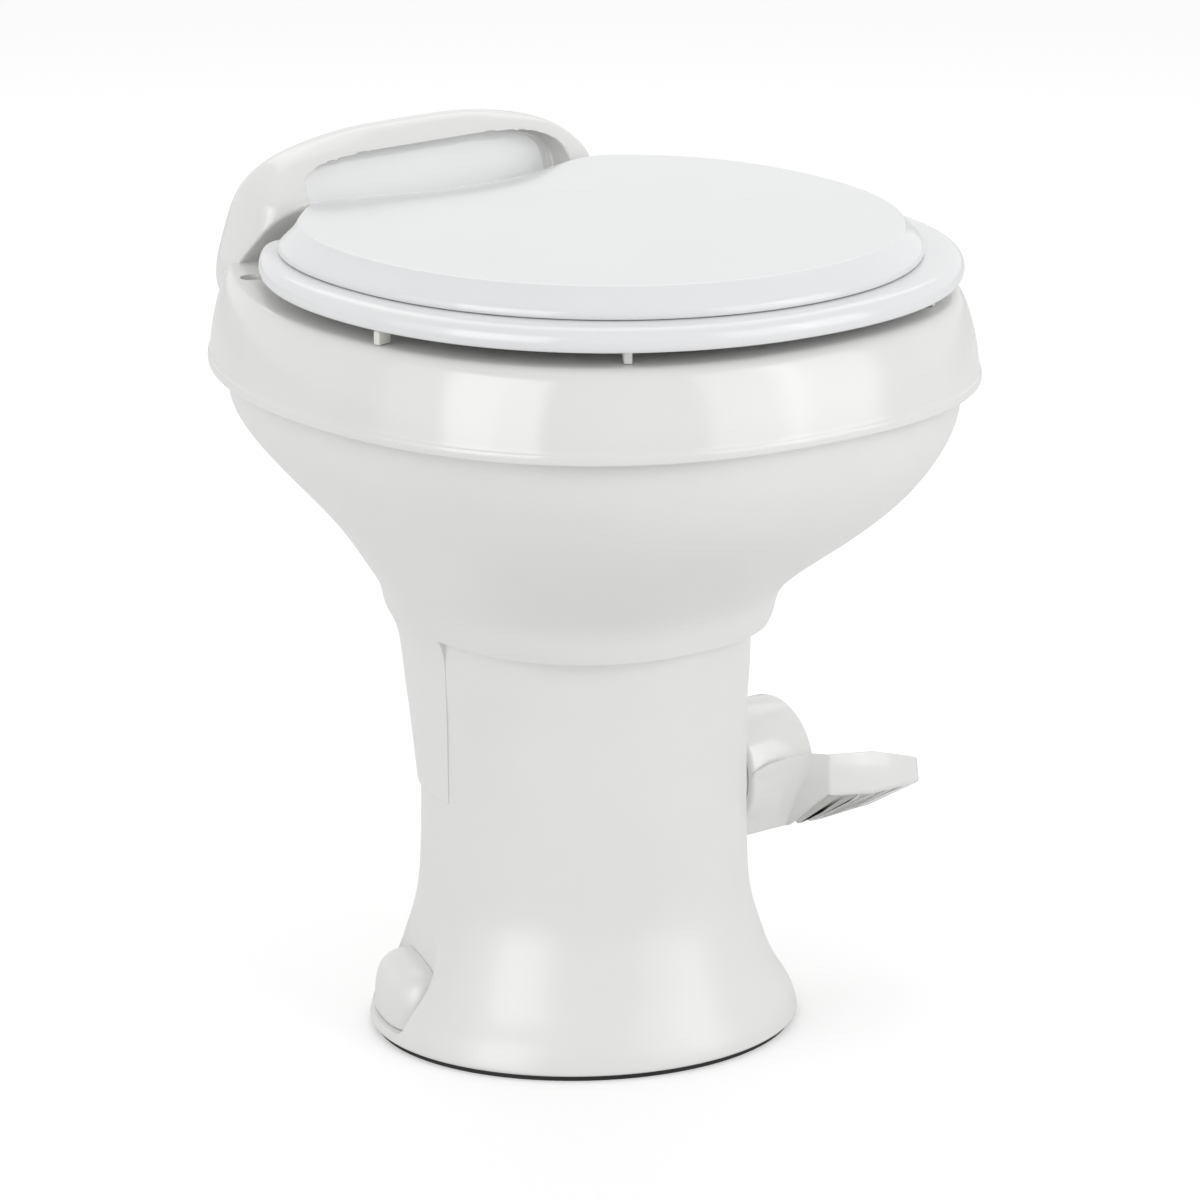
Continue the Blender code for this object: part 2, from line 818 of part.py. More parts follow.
def build_bowl():
    """The outer skin stands on the pedestal's neck, and the basin hangs in it by the flange round its rim."""
    flange_low = rim_height - rim_flange
    bowl_top = flange_low - gap
    flange_outline, height = skin_row(flare_shares[-1], pedestal_top, bowl_top)
    outer = [skin_row(row, apron_bottom, pedestal_top) for row in apron_shares]
    outer += [skin_row(row, pedestal_top, bowl_top) for row in flare_shares[:-1]]
    outer.append((flange_outline, bowl_top))
    inner = [(skin_row(flare_shares[-1], pedestal_top, bowl_top, skin_wall)[0], bowl_top)]
    for row in flare_shares[-3:1:-2]:
        outline, height = skin_row(row, pedestal_top, bowl_top, skin_wall)
        inner.append((outline, height + skin_wall))
    ledge_low = pedestal_top + gap
    ledge = circle(bowl_bore - neck_ledge_width)
    neck = [
        (ledge, ledge_low + neck_ledge),
        (ledge, ledge_low),
        (circle(bowl_bore), ledge_low),
        (circle(bowl_bore), apron_bottom),
    ]
    bowl = place(loft(outer + inner + neck, closed=True), "bowl", white_plastic)
    far = foot_half_width
    apron_cut = box((-far, -far, apron_bottom - overrun), (far, apron_front_y, skirt_bottom))
    cut(bowl, apron_cut, "front_of_apron")
    relief_start = pedestal_bore - hub_relief_depth
    cut(bowl, shaft_rod(hub_relief, relief_start, hub_outer, round_count), "hub_relief")

    rounded_rim = skin_row(flare_shares[-1], pedestal_top, bowl_top, rim_round)[0]
    spout = circle(outlet_radius)
    spout_outside = circle(outlet_radius + outlet_wall)
    basin_rows = [
        (flange_outline, flange_low),
        (flange_outline, rim_height - rim_edge),
        (rounded_rim, rim_height),
        (basin_row(basin_shares[0])[0], rim_height),
    ]
    basin_rows += [basin_row(row) for row in basin_shares[1:]]
    basin_rows += [(spout, spout_top), (spout, outlet_lip), (spout_outside, outlet_lip), (spout_outside, spout_top)]
    basin_rows += [basin_row(row, basin_wall) for row in reversed(basin_shares[1:])]
    basin_rows.append((basin_row(basin_shares[0], basin_wall)[0], flange_low))
    basin = place(loft(basin_rows, closed=True), "basin", white_plastic)
    hole_start = (0, nozzle_y - nozzle_hole_reach, nozzle_height)
    hole_end = (0, nozzle_y + nozzle_hole_reach, nozzle_height)
    cut(basin, rod(nozzle_stem + spool_clearance, hole_start, hole_end), "nozzle_opening")


def ball(radius):
    def fill(body):
        bmesh.ops.create_uvsphere(body, u_segments=round_count, v_segments=small_count, radius=radius)
        bmesh.ops.rotate(body, cent=(0, 0, 0), matrix=Matrix.Rotation(pi / 2, 3, "Y"), verts=body.verts)

    item = object_from(fill)
    item.location = (0, 0, shaft_height)
    return item


def build_valve():
    """Half a ball under the outlet, on a shaft from the pedal and a stub in the spring cartridge."""
    half_ball = place(ball(ball_radius), "flush_ball", grey_plastic)
    cut(half_ball, ball(ball_radius - ball_wall), "ball_inside")
    reach = 2 * ball_radius
    centre = (0, 0, shaft_height)
    for name, turn in (("rear", -ball_rear_angle), ("front", pi + ball_front_angle)):
        # Takes away what lies beyond a plane through the shaft, this far round from straight up
        half_space = box((-reach, 0, -reach), (reach, 2 * reach, reach))
        half_space.matrix_world = (
            Matrix.Translation(centre) @ Matrix.Rotation(turn, 4, "X") @ Matrix.Translation((0, reach, 0))
        )
        cut(half_ball, half_space, "ball_cut_" + name)
    for name, side in sides:
        boss = shaft_rod(ball_boss_radius, ball_boss_inner * side, ball_boss_outer * side)
        join(half_ball, boss, "ball_boss_" + name)
    cut(half_ball, shaft_rod(shaft_radius + gap, -reach, reach), "ball_bore")

    spout_seat = outlet_radius + outlet_wall + gap
    seal_radius = outlet_radius + seal_width
    seal_middle = outlet_radius + seal_width / 2
    seal_top = outlet_lip - gap
    seal = [
        (seal_radius, seal_top + seal_sleeve),
        (seal_radius, on_ball(seal_radius)),
        (seal_middle, on_ball(seal_middle)),
        (outlet_radius, on_ball(outlet_radius)),
        (outlet_radius, seal_top),
        (spout_seat, seal_top),
        (spout_seat, seal_top + seal_sleeve),
    ]
    place(turned(seal, round_count), "bowl_seal", black_rubber)

    shaft_end = hub_outer - hub_recess - gap
    shaft = [
        (0, shaft_end),
        (shaft_radius - small_chamfer, shaft_end),
        (shaft_radius, shaft_end - chamfer),
        (shaft_radius, ball_boss_inner),
        (0, ball_boss_inner),
    ]
    place(turned(shaft, axis="X", location=centre), "flush_shaft", steel)
    stub = [
        (0, cartridge_outer),
        (shaft_radius, cartridge_outer),
        (shaft_radius, ball_boss_inner),
        (0, ball_boss_inner),
    ]
    place(turned(stub, axis="-X", location=centre), "pivot_stub", steel)
    bush_bore = shaft_radius + running_gap
    bush = [
        (bush_radius, boss_outer),
        (bush_radius, boss_inner),
        (bush_flange_radius, boss_inner - gap),
        (bush_flange_radius, boss_inner - gap - bush_flange),
        (bush_bore, boss_inner - gap - bush_flange),
        (bush_bore, boss_outer),
    ]
    place(turned(bush, axis="X", location=centre), "shaft_bush", grey_plastic)
    cartridge = [
        (cartridge_radius - chamfer, cartridge_outer),
        (cartridge_radius, cartridge_outer - chamfer),
        (cartridge_radius, cartridge_inner + chamfer),
        (cartridge_radius - chamfer, cartridge_inner),
        (bush_bore, cartridge_inner),
        (bush_bore, cartridge_outer),
    ]
    place(turned(cartridge, axis="-X", location=centre), "spring_cartridge", grey_plastic)

    crank_end = crank_x + crank_thickness
    pin_end = crank_end + crank_pin_length
    pin_height = shaft_height - crank_throw
    crank = place(shaft_rod(crank_radius, crank_x, crank_end, round_count), "valve_crank", grey_plastic)
    join(crank, rod(crank_pin_radius, (crank_x + gap, 0, pin_height), (pin_end, 0, pin_height)), "crank_pin")
    cut(crank, shaft_rod(shaft_radius + gap, crank_x - overrun, pin_end), "crank_bore")


def build_water_valve():
    """The crank's pin slides the spool, which opens the valve that sits against the pedestal's wall."""
    fork_top = spool_height + fork_above_spool
    fork = box(
        (fork_low_x, -fork_half_depth, spool_height - fork_below_spool),
        (fork_high_x, fork_half_depth, fork_top),
    )
    spool = place(fork, "valve_spool", grey_plastic)
    rod_start = (spool_x, fork_half_depth - rod_sunk, spool_height)
    join(spool, rod(spool_radius, rod_start, (spool_x, spool_end, spool_height)), "spool_rod")
    slot = box(
        (fork_low_x - overrun, -fork_slot, spool_height + fork_slot_above),
        (fork_high_x + overrun, fork_slot, fork_top + overrun),
    )
    cut(spool, slot, "fork_slot_cut")

    body = place(
        box(
            (spool_x - valve_half_width, valve_front, valve_bottom),
            (spool_x + valve_half_width, valve_rear, spool_height + valve_half_height),
        ),
        "water_valve",
        grey_plastic,
    )
    wall = circle(waist_radius + gap)
    cut(body, loft([(wall, 0), (wall, pedestal_top)]), "pedestal_saddle")
    bore_end = (spool_x, valve_front + valve_bore_length, spool_height)
    cut(body, rod(spool_radius + spool_clearance, (spool_x, 0, spool_height), bore_end), "valve_bore")

    collar_start = valve_rear + gap
    collar_end = collar_start + inlet_collar
    inlet = [
        (inlet_radius, collar_end + inlet_length),
        (inlet_radius, collar_end),
        (inlet_collar_radius, collar_end),
        (inlet_collar_radius, collar_start),
        (inlet_bore, collar_start),
        (inlet_bore, collar_end + inlet_length),
    ]
    place(turned(inlet, axis="Y", location=(spool_x, 0, spool_height)), "valve_inlet", brass)
    barb_low = spool_height + valve_half_height + gap
    barb = [
        (barb_tip_radius, barb_low + barb_length),
        (barb_radius, barb_low + barb_length / 2),
        (barb_radius, barb_low),
        (barb_bore, barb_low),
        (barb_bore, barb_low + barb_length),
    ]
    place(turned(barb, location=(spool_x, valve_rear - barb_from_rear, 0)), "valve_barb", grey_plastic)


def build_funnel():
    flange_low = ledge_height + gap
    flange_high = flange_low + funnel_flange
    throat_outside = funnel_throat + funnel_wall
    funnel = [
        (pedestal_bore - gap, flange_high),
        (pedestal_bore - gap, flange_low),
        (foot_bore - funnel_wall, flange_low),
        (throat_outside, funnel_throat_height),
        (throat_outside, funnel_bottom),
        (funnel_throat, funnel_bottom),
        (funnel_throat, funnel_throat_height),
        (foot_bore - funnel_wall - funnel_wall, flange_high),
    ]
    place(turned(funnel, body_count), "outlet_funnel", grey_plastic)


def rounded_corners(corners, radius, count):
    """The corner points of a four-sided outline, each replaced by an arc."""
    outline = []
    total = len(corners)
    for i, here in enumerate(corners):
        before = (corners[i - 1] - here).normalized()
        after = (corners[(i + 1) % total] - here).normalized()
        start = here + before * radius
        end = here + after * radius
        for step in range(count):
            share = step / (count - 1)
            outline.append(tuple(start.lerp(here, share).lerp(here.lerp(end, share), share)))
    return outline


def pedal_row(row):
    """A section of the pedal from a row of shares: its place along X, and its corners in Y and Z."""
    along, *corners = row
    shaft = Vector((0, shaft_height))
    return between(hub_inner, pedal_tip, along), [shaft + Vector(corner) * hub_radius for corner in corners]


def build_pedal():
    centre = (0, 0, shaft_height)
    hub_floor = hub_outer - hub_recess
    bore = shaft_radius + gap
    hub = [
        (hub_recess_radius, hub_outer),
        (hub_radius - hub_chamfer, hub_outer),
        (hub_radius, hub_outer - hub_chamfer),
        (hub_radius, hub_inner + chamfer),
        (hub_radius - chamfer, hub_inner),
        (bore, hub_inner),
        (bore, hub_floor),
        (hub_recess_radius, hub_floor),
    ]
    pedal = place(turned(hub, round_count, "X", centre), "pedal", white_plastic)
    rows = [pedal_row(row) for row in pedal_shares]
    lever = [(rounded_corners(corners, pedal_corner, pedal_corner_count), x) for x, corners in rows]
    join(pedal, loft_along_x(lever), "pedal_lever")

    # Pockets in the lever's underside, between ribs that run from front to rear
    x, (front_edge, rear_edge, *upper) = rows[len(rows) // 2]
    middle = front_edge.lerp(rear_edge, 1 / 2)
    tilt = atan2(rear_edge.y - front_edge.y, rear_edge.x - front_edge.x)
    bay_start = hub_outer - pedal_wall
    pitch = (pedal_tip - pedal_tip_wall - bay_start) / pedal_rib_count
    for bay in range(pedal_rib_count):
        low = bay_start + bay * pitch
        pocket = box(
            (low, -pocket_half_width, -pocket_overrun),
            (low + pitch - pedal_rib, pocket_half_width, pocket_depth),
        )
        middle_x = low + (pitch - pedal_rib) / 2
        shift = Matrix.Translation((0, 0, (pocket_depth - pocket_overrun) / 2))
        turn = Matrix.Rotation(tilt, 4, "X")
        pocket.matrix_world = Matrix.Translation((middle_x, middle.x, middle.y)) @ turn @ shift
        cut(pedal, pocket, "pedal_pocket_" + str(bay))
    cut(pedal, shaft_rod(bore, hub_inner - overrun, hub_floor + overrun), "pedal_bore")
    cut(pedal, shaft_rod(hub_recess_radius, hub_floor, hub_outer + overrun), "pedal_recess")
    head_low = hub_floor + gap
    head_high = head_low + screw_head
    head = [
        (0, head_high),
        (screw_head_radius - chamfer, head_high),
        (screw_head_radius, head_high - chamfer),
        (screw_head_radius, head_low),
        (0, head_low),
    ]
    place(turned(head, axis="X", location=centre), "pedal_screw", steel)


def deck_outline(inset):
    outline = egg(
        deck_half_width - inset,
        deck_front - inset,
        deck_rear + deck_rear_bow - inset,
        deck_centre,
        deck_front_power,
        deck_rear_power,
    )
    return [(x, min(y, deck_rear - inset)) for x, y in outline]


def opening_outline(grow):
    return egg(
        opening_half_width + grow,
        opening_front + grow,
        opening_rear + grow,
        opening_centre,
        opening_power,
        opening_power,
    )


def hood_outline(half_width, front, rear):
    """A squarish outline from front to rear."""
    return egg(half_width, -front, rear, (front + rear) / 2, hood_power, hood_power)


def hood_row(row):
    """The hood's height, half-width, front and rear at a row of shares."""
    height_share, side_share, front_share, rear_share = row
    front = between(hood_front, hood_rear, front_share)
    rear = between(hood_front, hood_rear, rear_share)
    return between(hood_foot, hood_top, height_share), hood_half_width * side_share, front, rear


def loft_across(side, half_width):
    """An outline in Y and Z, drawn out to both sides of the middle."""
    return loft_along_x([(side, -half_width), (side, half_width)])


def build_deck():
    band = [(deck_outline(band_lean * inset), between(band_bottom, deck_height, z)) for z, inset in band_shares]
    deck = place(loft(band), "deck", white_plastic)
    hood_rows = [hood_row(row) for row in hood_shares]
    hood = [(hood_outline(half_width, front, rear), z) for z, half_width, front, rear in hood_rows]
    join(deck, loft(hood), "hood")

    hollow_rows = [
        (deck_outline(deck_wall + band_lean * inset), between(band_bottom, deck_height, z))
        for z, inset in band_hollow_shares
    ]
    hollow_rows.insert(0, (hollow_rows[0][0], band_bottom - overrun))
    hollow = loft(hollow_rows)
    far = 2 * deck_half_width
    above = deck_height + overrun
    cut(hollow, box((-far, rear_block_front, rear_block_floor), (far, far, above)), "hollow_rear_limit")
    lip = opening_outline(opening_lip)
    cut(hollow, loft([(lip, rim_height + gap), (lip, above)]), "hollow_lip_limit")
    cut(deck, hollow, "deck_hollow")
    opening = opening_outline(0)
    cut(deck, loft([(opening, rim_height - overrun), (opening, above)]), "bowl_opening")

    def window(row):
        height_share, side_share, lean_share = row
        half_width = recess_half_width * side_share
        back = recess_back + recess_lean * lean_share
        outline = [(half_width, trough_front), (half_width, back), (-half_width, back), (-half_width, trough_front)]
        return outline, between(panel_bottom, window_top, height_share)

    windows = [window(row) for row in window_shares]
    windows.insert(0, (windows[0][0], panel_bottom - overrun))
    cut(deck, loft(windows), "hood_window")
    well_low = (-recess_half_width, trough_front, trough_floor)
    cut(deck, box(well_low, (recess_half_width, hood_front + well_depth, panel_bottom)), "hinge_well")
    trough_low = (-trough_half_width, trough_front, trough_floor)
    cut(deck, box(trough_low, (trough_half_width, trough_rear, above)), "hinge_trough")
    leg_rear = hood_front + leg_cut_depth
    leg_side = [
        (hood_front - leg_cut_ahead, lid_top),
        (hood_front, lid_top),
        (leg_rear, deck_height),
        (leg_rear, deck_height - gap),
        (hood_front - leg_cut_ahead, deck_height - gap),
    ]
    cut(deck, loft_across(leg_side, trough_half_width + overrun), "leg_cut")

    inside_limit = recess_half_width - hood_hollow_side
    inside = []
    for z, half_width, front, rear in hood_rows[2:7]:
        across = min(half_width - hood_wall, inside_limit)
        inside.append((hood_outline(across, hood_hollow_front, rear - hood_wall), z - hood_wall))
    inside.insert(0, (inside[0][0], rear_block_floor - overrun))
    cut(deck, loft(inside), "hood_inside")

    seat_level = deck_height - deck_screw_depth
    screw_low = seat_level + gap
    screw = [
        (0, screw_low + deck_screw_head_height),
        (deck_screw_head - chamfer, screw_low + deck_screw_head_height),
        (deck_screw_head, screw_low + deck_screw_head_height / 2),
        (deck_screw_head, screw_low),
        (deck_screw_shank, screw_low),
        (deck_screw_shank, screw_low - deck_screw_length),
        (0, screw_low - deck_screw_length),
    ]
    for name, side in sides:
        spot = ((hood_half_width + deck_screw_beside) * side, hood_front - deck_screw_ahead)
        cut(deck, rod(deck_screw_recess, (*spot, seat_level), (*spot, above)), "screw_recess_" + name)
        cut(deck, rod(deck_screw_shank + gap, (*spot, rim_height), (*spot, deck_height)), "screw_hole_" + name)
        place(turned(screw, location=(*spot, 0)), "deck_screw_" + name, steel)


def hinge_rod(radius, inner_x, outer_x, side):
    start = (inner_x * side, hinge_y, hinge_height)
    return rod(radius, start, (outer_x * side, hinge_y, hinge_height))


def build_hinge():
    for name, side in sides:
        near, away = on_side(side, post_inner, post_outer)
        low = (near, hinge_y - post_radius, trough_floor + gap)
        post = place(box(low, (away, hinge_y + post_radius, hinge_height)), "hinge_post_" + name, white_plastic)
        join(post, hinge_rod(post_radius, post_inner, post_outer, side), "post_head_" + name)
        bore = hinge_rod(pin_radius + gap, post_inner - overrun, post_outer + overrun, side)
        cut(post, bore, "post_bore_" + name)
        place(hinge_rod(pin_radius, pin_inner, pin_outer, side), "hinge_pin_" + name, grey_plastic)


def seat_outline(inset):
    return egg(
        seat_half_width - inset,
        seat_front - inset,
        seat_rear - inset,
        seat_centre,
        seat_front_power,
        seat_rear_power,
    )


def seat_hole_outline(grow):
    return egg(
        seat_hole_half_width + grow,
        seat_hole_front + grow,
        seat_hole_rear + grow,
        seat_hole_centre,
        seat_hole_power,
        seat_hole_power,
    )


def build_seat():
    rows = [(seat_outline(seat_round * inset), between(seat_underside, seat_top, z)) for z, inset in seat_shares]
    rows += [
        (seat_hole_outline(seat_round * grow), between(seat_underside, seat_top, z)) for z, grow in seat_hole_shares
    ]
    seat = place(loft(rows, closed=True), "seat", seat_plastic)
    far = 2 * seat_half_width
    low = seat_underside - overrun
    high = hinge_height + lug_radius + overrun
    corner_edge = hinge_y + seat_corner_behind_hinge
    cut(seat, box((-far, corner_edge, low), (far, far, high)), "seat_rear_cut")
    middle_low = (-trough_half_width, hinge_y + seat_behind_hinge, low)
    cut(seat, box(middle_low, (trough_half_width, far, high)), "seat_middle_cut")
    for name, side in sides:
        near, away = on_side(side, lid_lug_inner - notch_clearance, post_outer + gap)
        notch_low = (near, hinge_y - lug_radius - notch_clearance, low)
        cut(seat, box(notch_low, (away, far, high)), "seat_notch_" + name)
        join(seat, hinge_rod(lug_radius, seat_lug_inner, seat_lug_outer, side), "seat_lug_" + name)
        bore = hinge_rod(pin_radius + running_gap, seat_lug_inner - overrun, pin_outer + gap, side)
        cut(seat, bore, "seat_lug_bore_" + name)
        for place_name, side_share, front_share in bumper_shares:
            spot = (seat_half_width * side_share * side, -seat_front * front_share)
            bumper = rod(
                bumper_tip_radius,
                (*spot, deck_height + gap),
                (*spot, seat_underside - gap),
                end_radius=bumper_radius,
            )
            place(bumper, "seat_bumper_" + name + "_" + place_name, white_rubber)


def lid_outline(inset):
    return egg(
        lid_half_width - inset,
        lid_front - inset,
        lid_rear - inset,
        lid_centre,
        lid_front_power,
        lid_rear_power,
    )


def behind_lid(ahead):
    """The outline behind the lid's rear edge, which curves forward in the middle."""
    edge = []
    for step in range(lid_edge_count + 1):
        share = 2 * step / lid_edge_count - 1
        y = lid_edge_y - lid_edge_bow * (1 - share * share)
        edge.append((share * lid_edge_half_width, y - ahead))
    far = 2 * lid_half_width
    return [(-far, lid_edge_y - ahead), *edge, (far, lid_edge_y - ahead), (far, far), (-far, far)]


def build_lid():
    outer = [(lid_outline(lid_crown * inset), between(lid_bottom, lid_top, z)) for z, inset in lid_shares]
    lid = place(loft(outer), "lid", seat_plastic)
    low = lid_bottom - overrun
    high = lid_top + overrun
    inside = [
        (lid_outline(lid_wall + lid_crown * inset), between(lid_bottom, lid_top, z)) for z, inset in lid_hollow_shares
    ]
    inside.insert(0, (inside[0][0], low))
    hollow = loft(inside)
    cut(hollow, loft([(behind_lid(lid_wall), low - overrun), (behind_lid(lid_wall), high)]), "lid_hollow_limit")
    cut(lid, loft([(behind_lid(0), low), (behind_lid(0), high)]), "lid_rear_edge")
    cut(lid, hollow, "lid_hollow")
    lug_top = lid_top - lid_lug_below_top
    for name, side in sides:
        join(lid, hinge_rod(lug_radius, lid_lug_inner, lid_lug_outer, side), "lid_lug_" + name)
        near, away = on_side(side, lid_lug_inner, lid_lug_outer)
        web_low = (near, hinge_y - lug_radius, hinge_height)
        join(lid, box(web_low, (away, hinge_y + lug_radius, lug_top)), "lid_web_" + name)
        bore = hinge_rod(pin_radius + running_gap, pin_inner - gap, lid_lug_outer + overrun, side)
        cut(lid, bore, "lid_lug_bore_" + name)
        near, away = on_side(side, post_inner - notch_clearance, post_outer + notch_clearance)
        notch_low = (near, hinge_y + lug_radius, low)
        notch_high = (away, lid_edge_y + overrun, lid_top - lid_notch_below_top)
        cut(lid, box(notch_low, notch_high), "lid_post_notch_" + name)


nozzle_height = rim_height - nozzle_below_rim
nozzle_y = between(outlet_radius, basin_rear, basin_shares[1][3])


def build_nozzle():
    """The rinse nozzle stands in the basin's rear wall, and its outlet faces forward."""
    face = nozzle_y - nozzle_flange_clear
    front = face - nozzle_flange
    behind = face + nozzle_behind
    nozzle = [
        (nozzle_stem, behind),
        (nozzle_stem, face),
        (nozzle_radius, face),
        (nozzle_radius, front + small_chamfer),
        (nozzle_radius - chamfer, front),
        (nozzle_bore, front),
        (nozzle_bore, behind),
    ]
    place(turned(nozzle, axis="Y", location=(0, 0, nozzle_height)), "rinse_nozzle", grey_plastic)


start_empty()
parts = new_collection("rv_toilet")
cutters = new_collection("cutters")

white_plastic = material("white_plastic", (0.86, 0.86, 0.85), 0.25)
seat_plastic = material("seat_plastic", (0.88, 0.89, 0.89), 0.22)
grey_plastic = material("grey_plastic", (0.45, 0.45, 0.45), 0.5)
black_rubber = material("black_rubber", (0.02, 0.02, 0.02), 0.7)
white_rubber = material("white_rubber", (0.8, 0.8, 0.78), 0.6)
steel = material("steel", (0.6, 0.6, 0.6), 0.3, 1)
brass = material("brass", (0.7, 0.55, 0.25), 0.3, 1)

build_pedestal()
build_floor_pieces()
build_bowl()
build_valve()
build_water_valve()
build_funnel()
build_pedal()
build_deck()
build_hinge()
build_seat()
build_lid()
build_nozzle()
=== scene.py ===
"""The RV toilet dressed for the photograph.

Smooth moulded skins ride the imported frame, and a floor, lamps and a camera give the photograph's view.
"""

import json
from math import atan2, cos, pi, radians, sin
import bmesh
import bpy
from mathutils import Matrix, Vector


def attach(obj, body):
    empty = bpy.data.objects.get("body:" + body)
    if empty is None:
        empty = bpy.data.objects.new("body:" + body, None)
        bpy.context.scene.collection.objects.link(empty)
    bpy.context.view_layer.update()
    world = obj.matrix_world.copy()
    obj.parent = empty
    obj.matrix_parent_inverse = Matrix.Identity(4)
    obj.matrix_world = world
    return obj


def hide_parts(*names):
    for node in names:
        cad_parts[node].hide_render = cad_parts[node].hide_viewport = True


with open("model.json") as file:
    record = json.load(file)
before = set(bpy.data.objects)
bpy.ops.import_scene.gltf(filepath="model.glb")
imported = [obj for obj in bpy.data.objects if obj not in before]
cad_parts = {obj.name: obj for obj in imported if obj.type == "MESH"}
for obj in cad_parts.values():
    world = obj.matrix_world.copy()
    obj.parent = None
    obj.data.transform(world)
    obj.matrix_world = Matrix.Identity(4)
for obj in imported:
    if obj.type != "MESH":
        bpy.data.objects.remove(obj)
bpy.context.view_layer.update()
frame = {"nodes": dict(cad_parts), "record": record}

MM = 0.001

# Levels and places, as in the frame
gasket_top = 2.7 * MM
pedestal_foot = 3 * MM
pedestal_top = 236 * MM
skirt_bottom = 233.3 * MM
rim_top = 405 * MM
deck_top = 424 * MM
seat_bottom = 432 * MM
hinge_y = 92 * MM
hinge_z = 444 * MM
shaft_z = 125.5 * MM
# The apron ends a little higher than the frame's, as it does in the photograph
apron_bottom = 139 * MM

ring_count = 48
round_count = 96
smooth_levels = 2
weld = 0.01 * MM
lug = 8 * MM
sides = {"left": -1, "right": 1}


# Materials


def linear(colour):
    """An sRGB hex colour as linear red, green, blue and full opacity."""
    parts = [int(colour[place : place + 2], 16) / 255 for place in (1, 3, 5)]
    return (*[part / 12.92 if part <= 0.04045 else ((part + 0.055) / 1.055) ** 2.4 for part in parts], 1)


def add(tree, kind, settings=None, **links):
    """Adds a node, sets its properties and plain inputs, and links the sockets that are given."""
    node = tree.nodes.new(kind)
    for name, value in (settings or {}).items():
        if hasattr(node, name):
            setattr(node, name, value)
        else:
            node.inputs[name].default_value = value
    for name, socket in links.items():
        tree.links.new(socket, node.inputs[name.replace("_", " ")])
    return node


def surface(name, **plain):
    """A material, its node tree, its Principled shader with plain values, and Object coordinates."""
    made = bpy.data.materials.new(name)
    made.use_nodes = True
    tree = made.node_tree
    shader = tree.nodes["Principled BSDF"]
    for socket, value in plain.items():
        shader.inputs[socket.replace("_", " ")].default_value = value
    return made, tree, shader, add(tree, "ShaderNodeTexCoord").outputs["Object"]


# The tone of a moulding wanders over about this length, between these shares of its range
drift_size = 90 * MM
drift_low, drift_high = 0.35, 0.65
# Depth of the lines that a tool or plating leaves
line_depth = 0.03 * MM


def moulded(name, colour, shade, smooth, rough, peel_size, peel_depth, ior=1.53):
    """Injection-moulded plastic or rubber: its tone and gloss wander slightly, over a fine orange peel."""
    made, tree, shader, place = surface(name, IOR=ior)
    drift = add(tree, "ShaderNodeTexNoise", {"Scale": 1 / drift_size, "Detail": 3}, Vector=place)
    tone = add(tree, "ShaderNodeValToRGB", Fac=drift.outputs["Fac"])
    tone.color_ramp.elements[0].position = drift_low
    tone.color_ramp.elements[0].color = linear(shade)
    tone.color_ramp.elements[1].position = drift_high
    tone.color_ramp.elements[1].color = linear(colour)
    tree.links.new(tone.outputs["Color"], shader.inputs["Base Color"])
    gloss = add(tree, "ShaderNodeMapRange", {"To Min": smooth, "To Max": rough}, Value=drift.outputs["Fac"])
    tree.links.new(gloss.outputs["Result"], shader.inputs["Roughness"])
    peel = add(tree, "ShaderNodeTexNoise", {"Scale": 1 / peel_size, "Detail": 2}, Vector=place)
    bump = add(tree, "ShaderNodeBump", {"Strength": 1, "Distance": peel_depth}, Height=peel.outputs["Fac"])
    tree.links.new(bump.outputs["Normal"], shader.inputs["Normal"])
    return made


def metal(name, colour, shade, smooth, rough, stretch, line_size):
    """Turned or plated metal: fine lines round the work, stretched along one axis, and dull patches."""
    made, tree, shader, place = surface(name, Metallic=1)
    lines = add(tree, "ShaderNodeMapping", {"Scale": stretch}, Vector=place).outputs["Vector"]
    grain = add(tree, "ShaderNodeTexNoise", {"Scale": 1 / line_size, "Detail": 4}, Vector=lines)
    tone = add(tree, "ShaderNodeValToRGB", Fac=grain.outputs["Fac"])
    tone.color_ramp.elements[0].color = linear(shade)
    tone.color_ramp.elements[1].color = linear(colour)
    tree.links.new(tone.outputs["Color"], shader.inputs["Base Color"])
    gloss = add(tree, "ShaderNodeMapRange", {"To Min": smooth, "To Max": rough}, Value=grain.outputs["Fac"])
    tree.links.new(gloss.outputs["Result"], shader.inputs["Roughness"])
    bump = add(tree, "ShaderNodeBump", {"Strength": 0.4, "Distance": line_depth}, Height=grain.outputs["Fac"])
    tree.links.new(bump.outputs["Normal"], shader.inputs["Normal"])
    return made


# Gloss polypropylene of the deck, the basin and the pedal. Its orange peel is about 4 mm across and very
# shallow, so that a soft box shows in it with a clean edge
deck_white = moulded("stand_white_polypropylene", "#E6E6E4", "#E4E4E2", 0.13, 0.17, 4.2 * MM, 0.01 * MM)
# The same plastic from a duller mould, for the bowl and the pedestal, whose highlights fade out softly
duller_white = moulded("duller_white_polypropylene", "#E6E6E4", "#E4E4E2", 0.27, 0.33, 4.2 * MM, 0.01 * MM)
# The seat and the lid are moulded a touch bluer, and polished, so they mirror the room's brightness
seat_white = moulded("seat_white_polypropylene", "#E8E9EA", "#E6E7E8", 0.12, 0.16, 3.8 * MM, 0.01 * MM)
# The hood's panel: the same polished plastic, painted whiter than the rest as a painted highlight, standing
# in for the brighter light that its face catches
panel_painted_white = moulded("panel_white_painted_highlight", "#F7F8F8", "#F5F6F6", 0.12, 0.16, 3.3 * MM, 0.01 * MM)
# Moulded nylon of the workings: mid grey, with a matt grain that is drawn coarse enough to show
working_grey = moulded("working_grey_nylon", "#A7A8A8", "#9D9E9F", 0.42, 0.55, 1.1 * MM, 0.06 * MM)
# Moulded rubber under the foot: a black line with hardly any shine
gasket_black = moulded("gasket_black_rubber", "#1C1C1D", "#141415", 0.55, 0.75, 0.67 * MM, 0.1 * MM, 1.52)
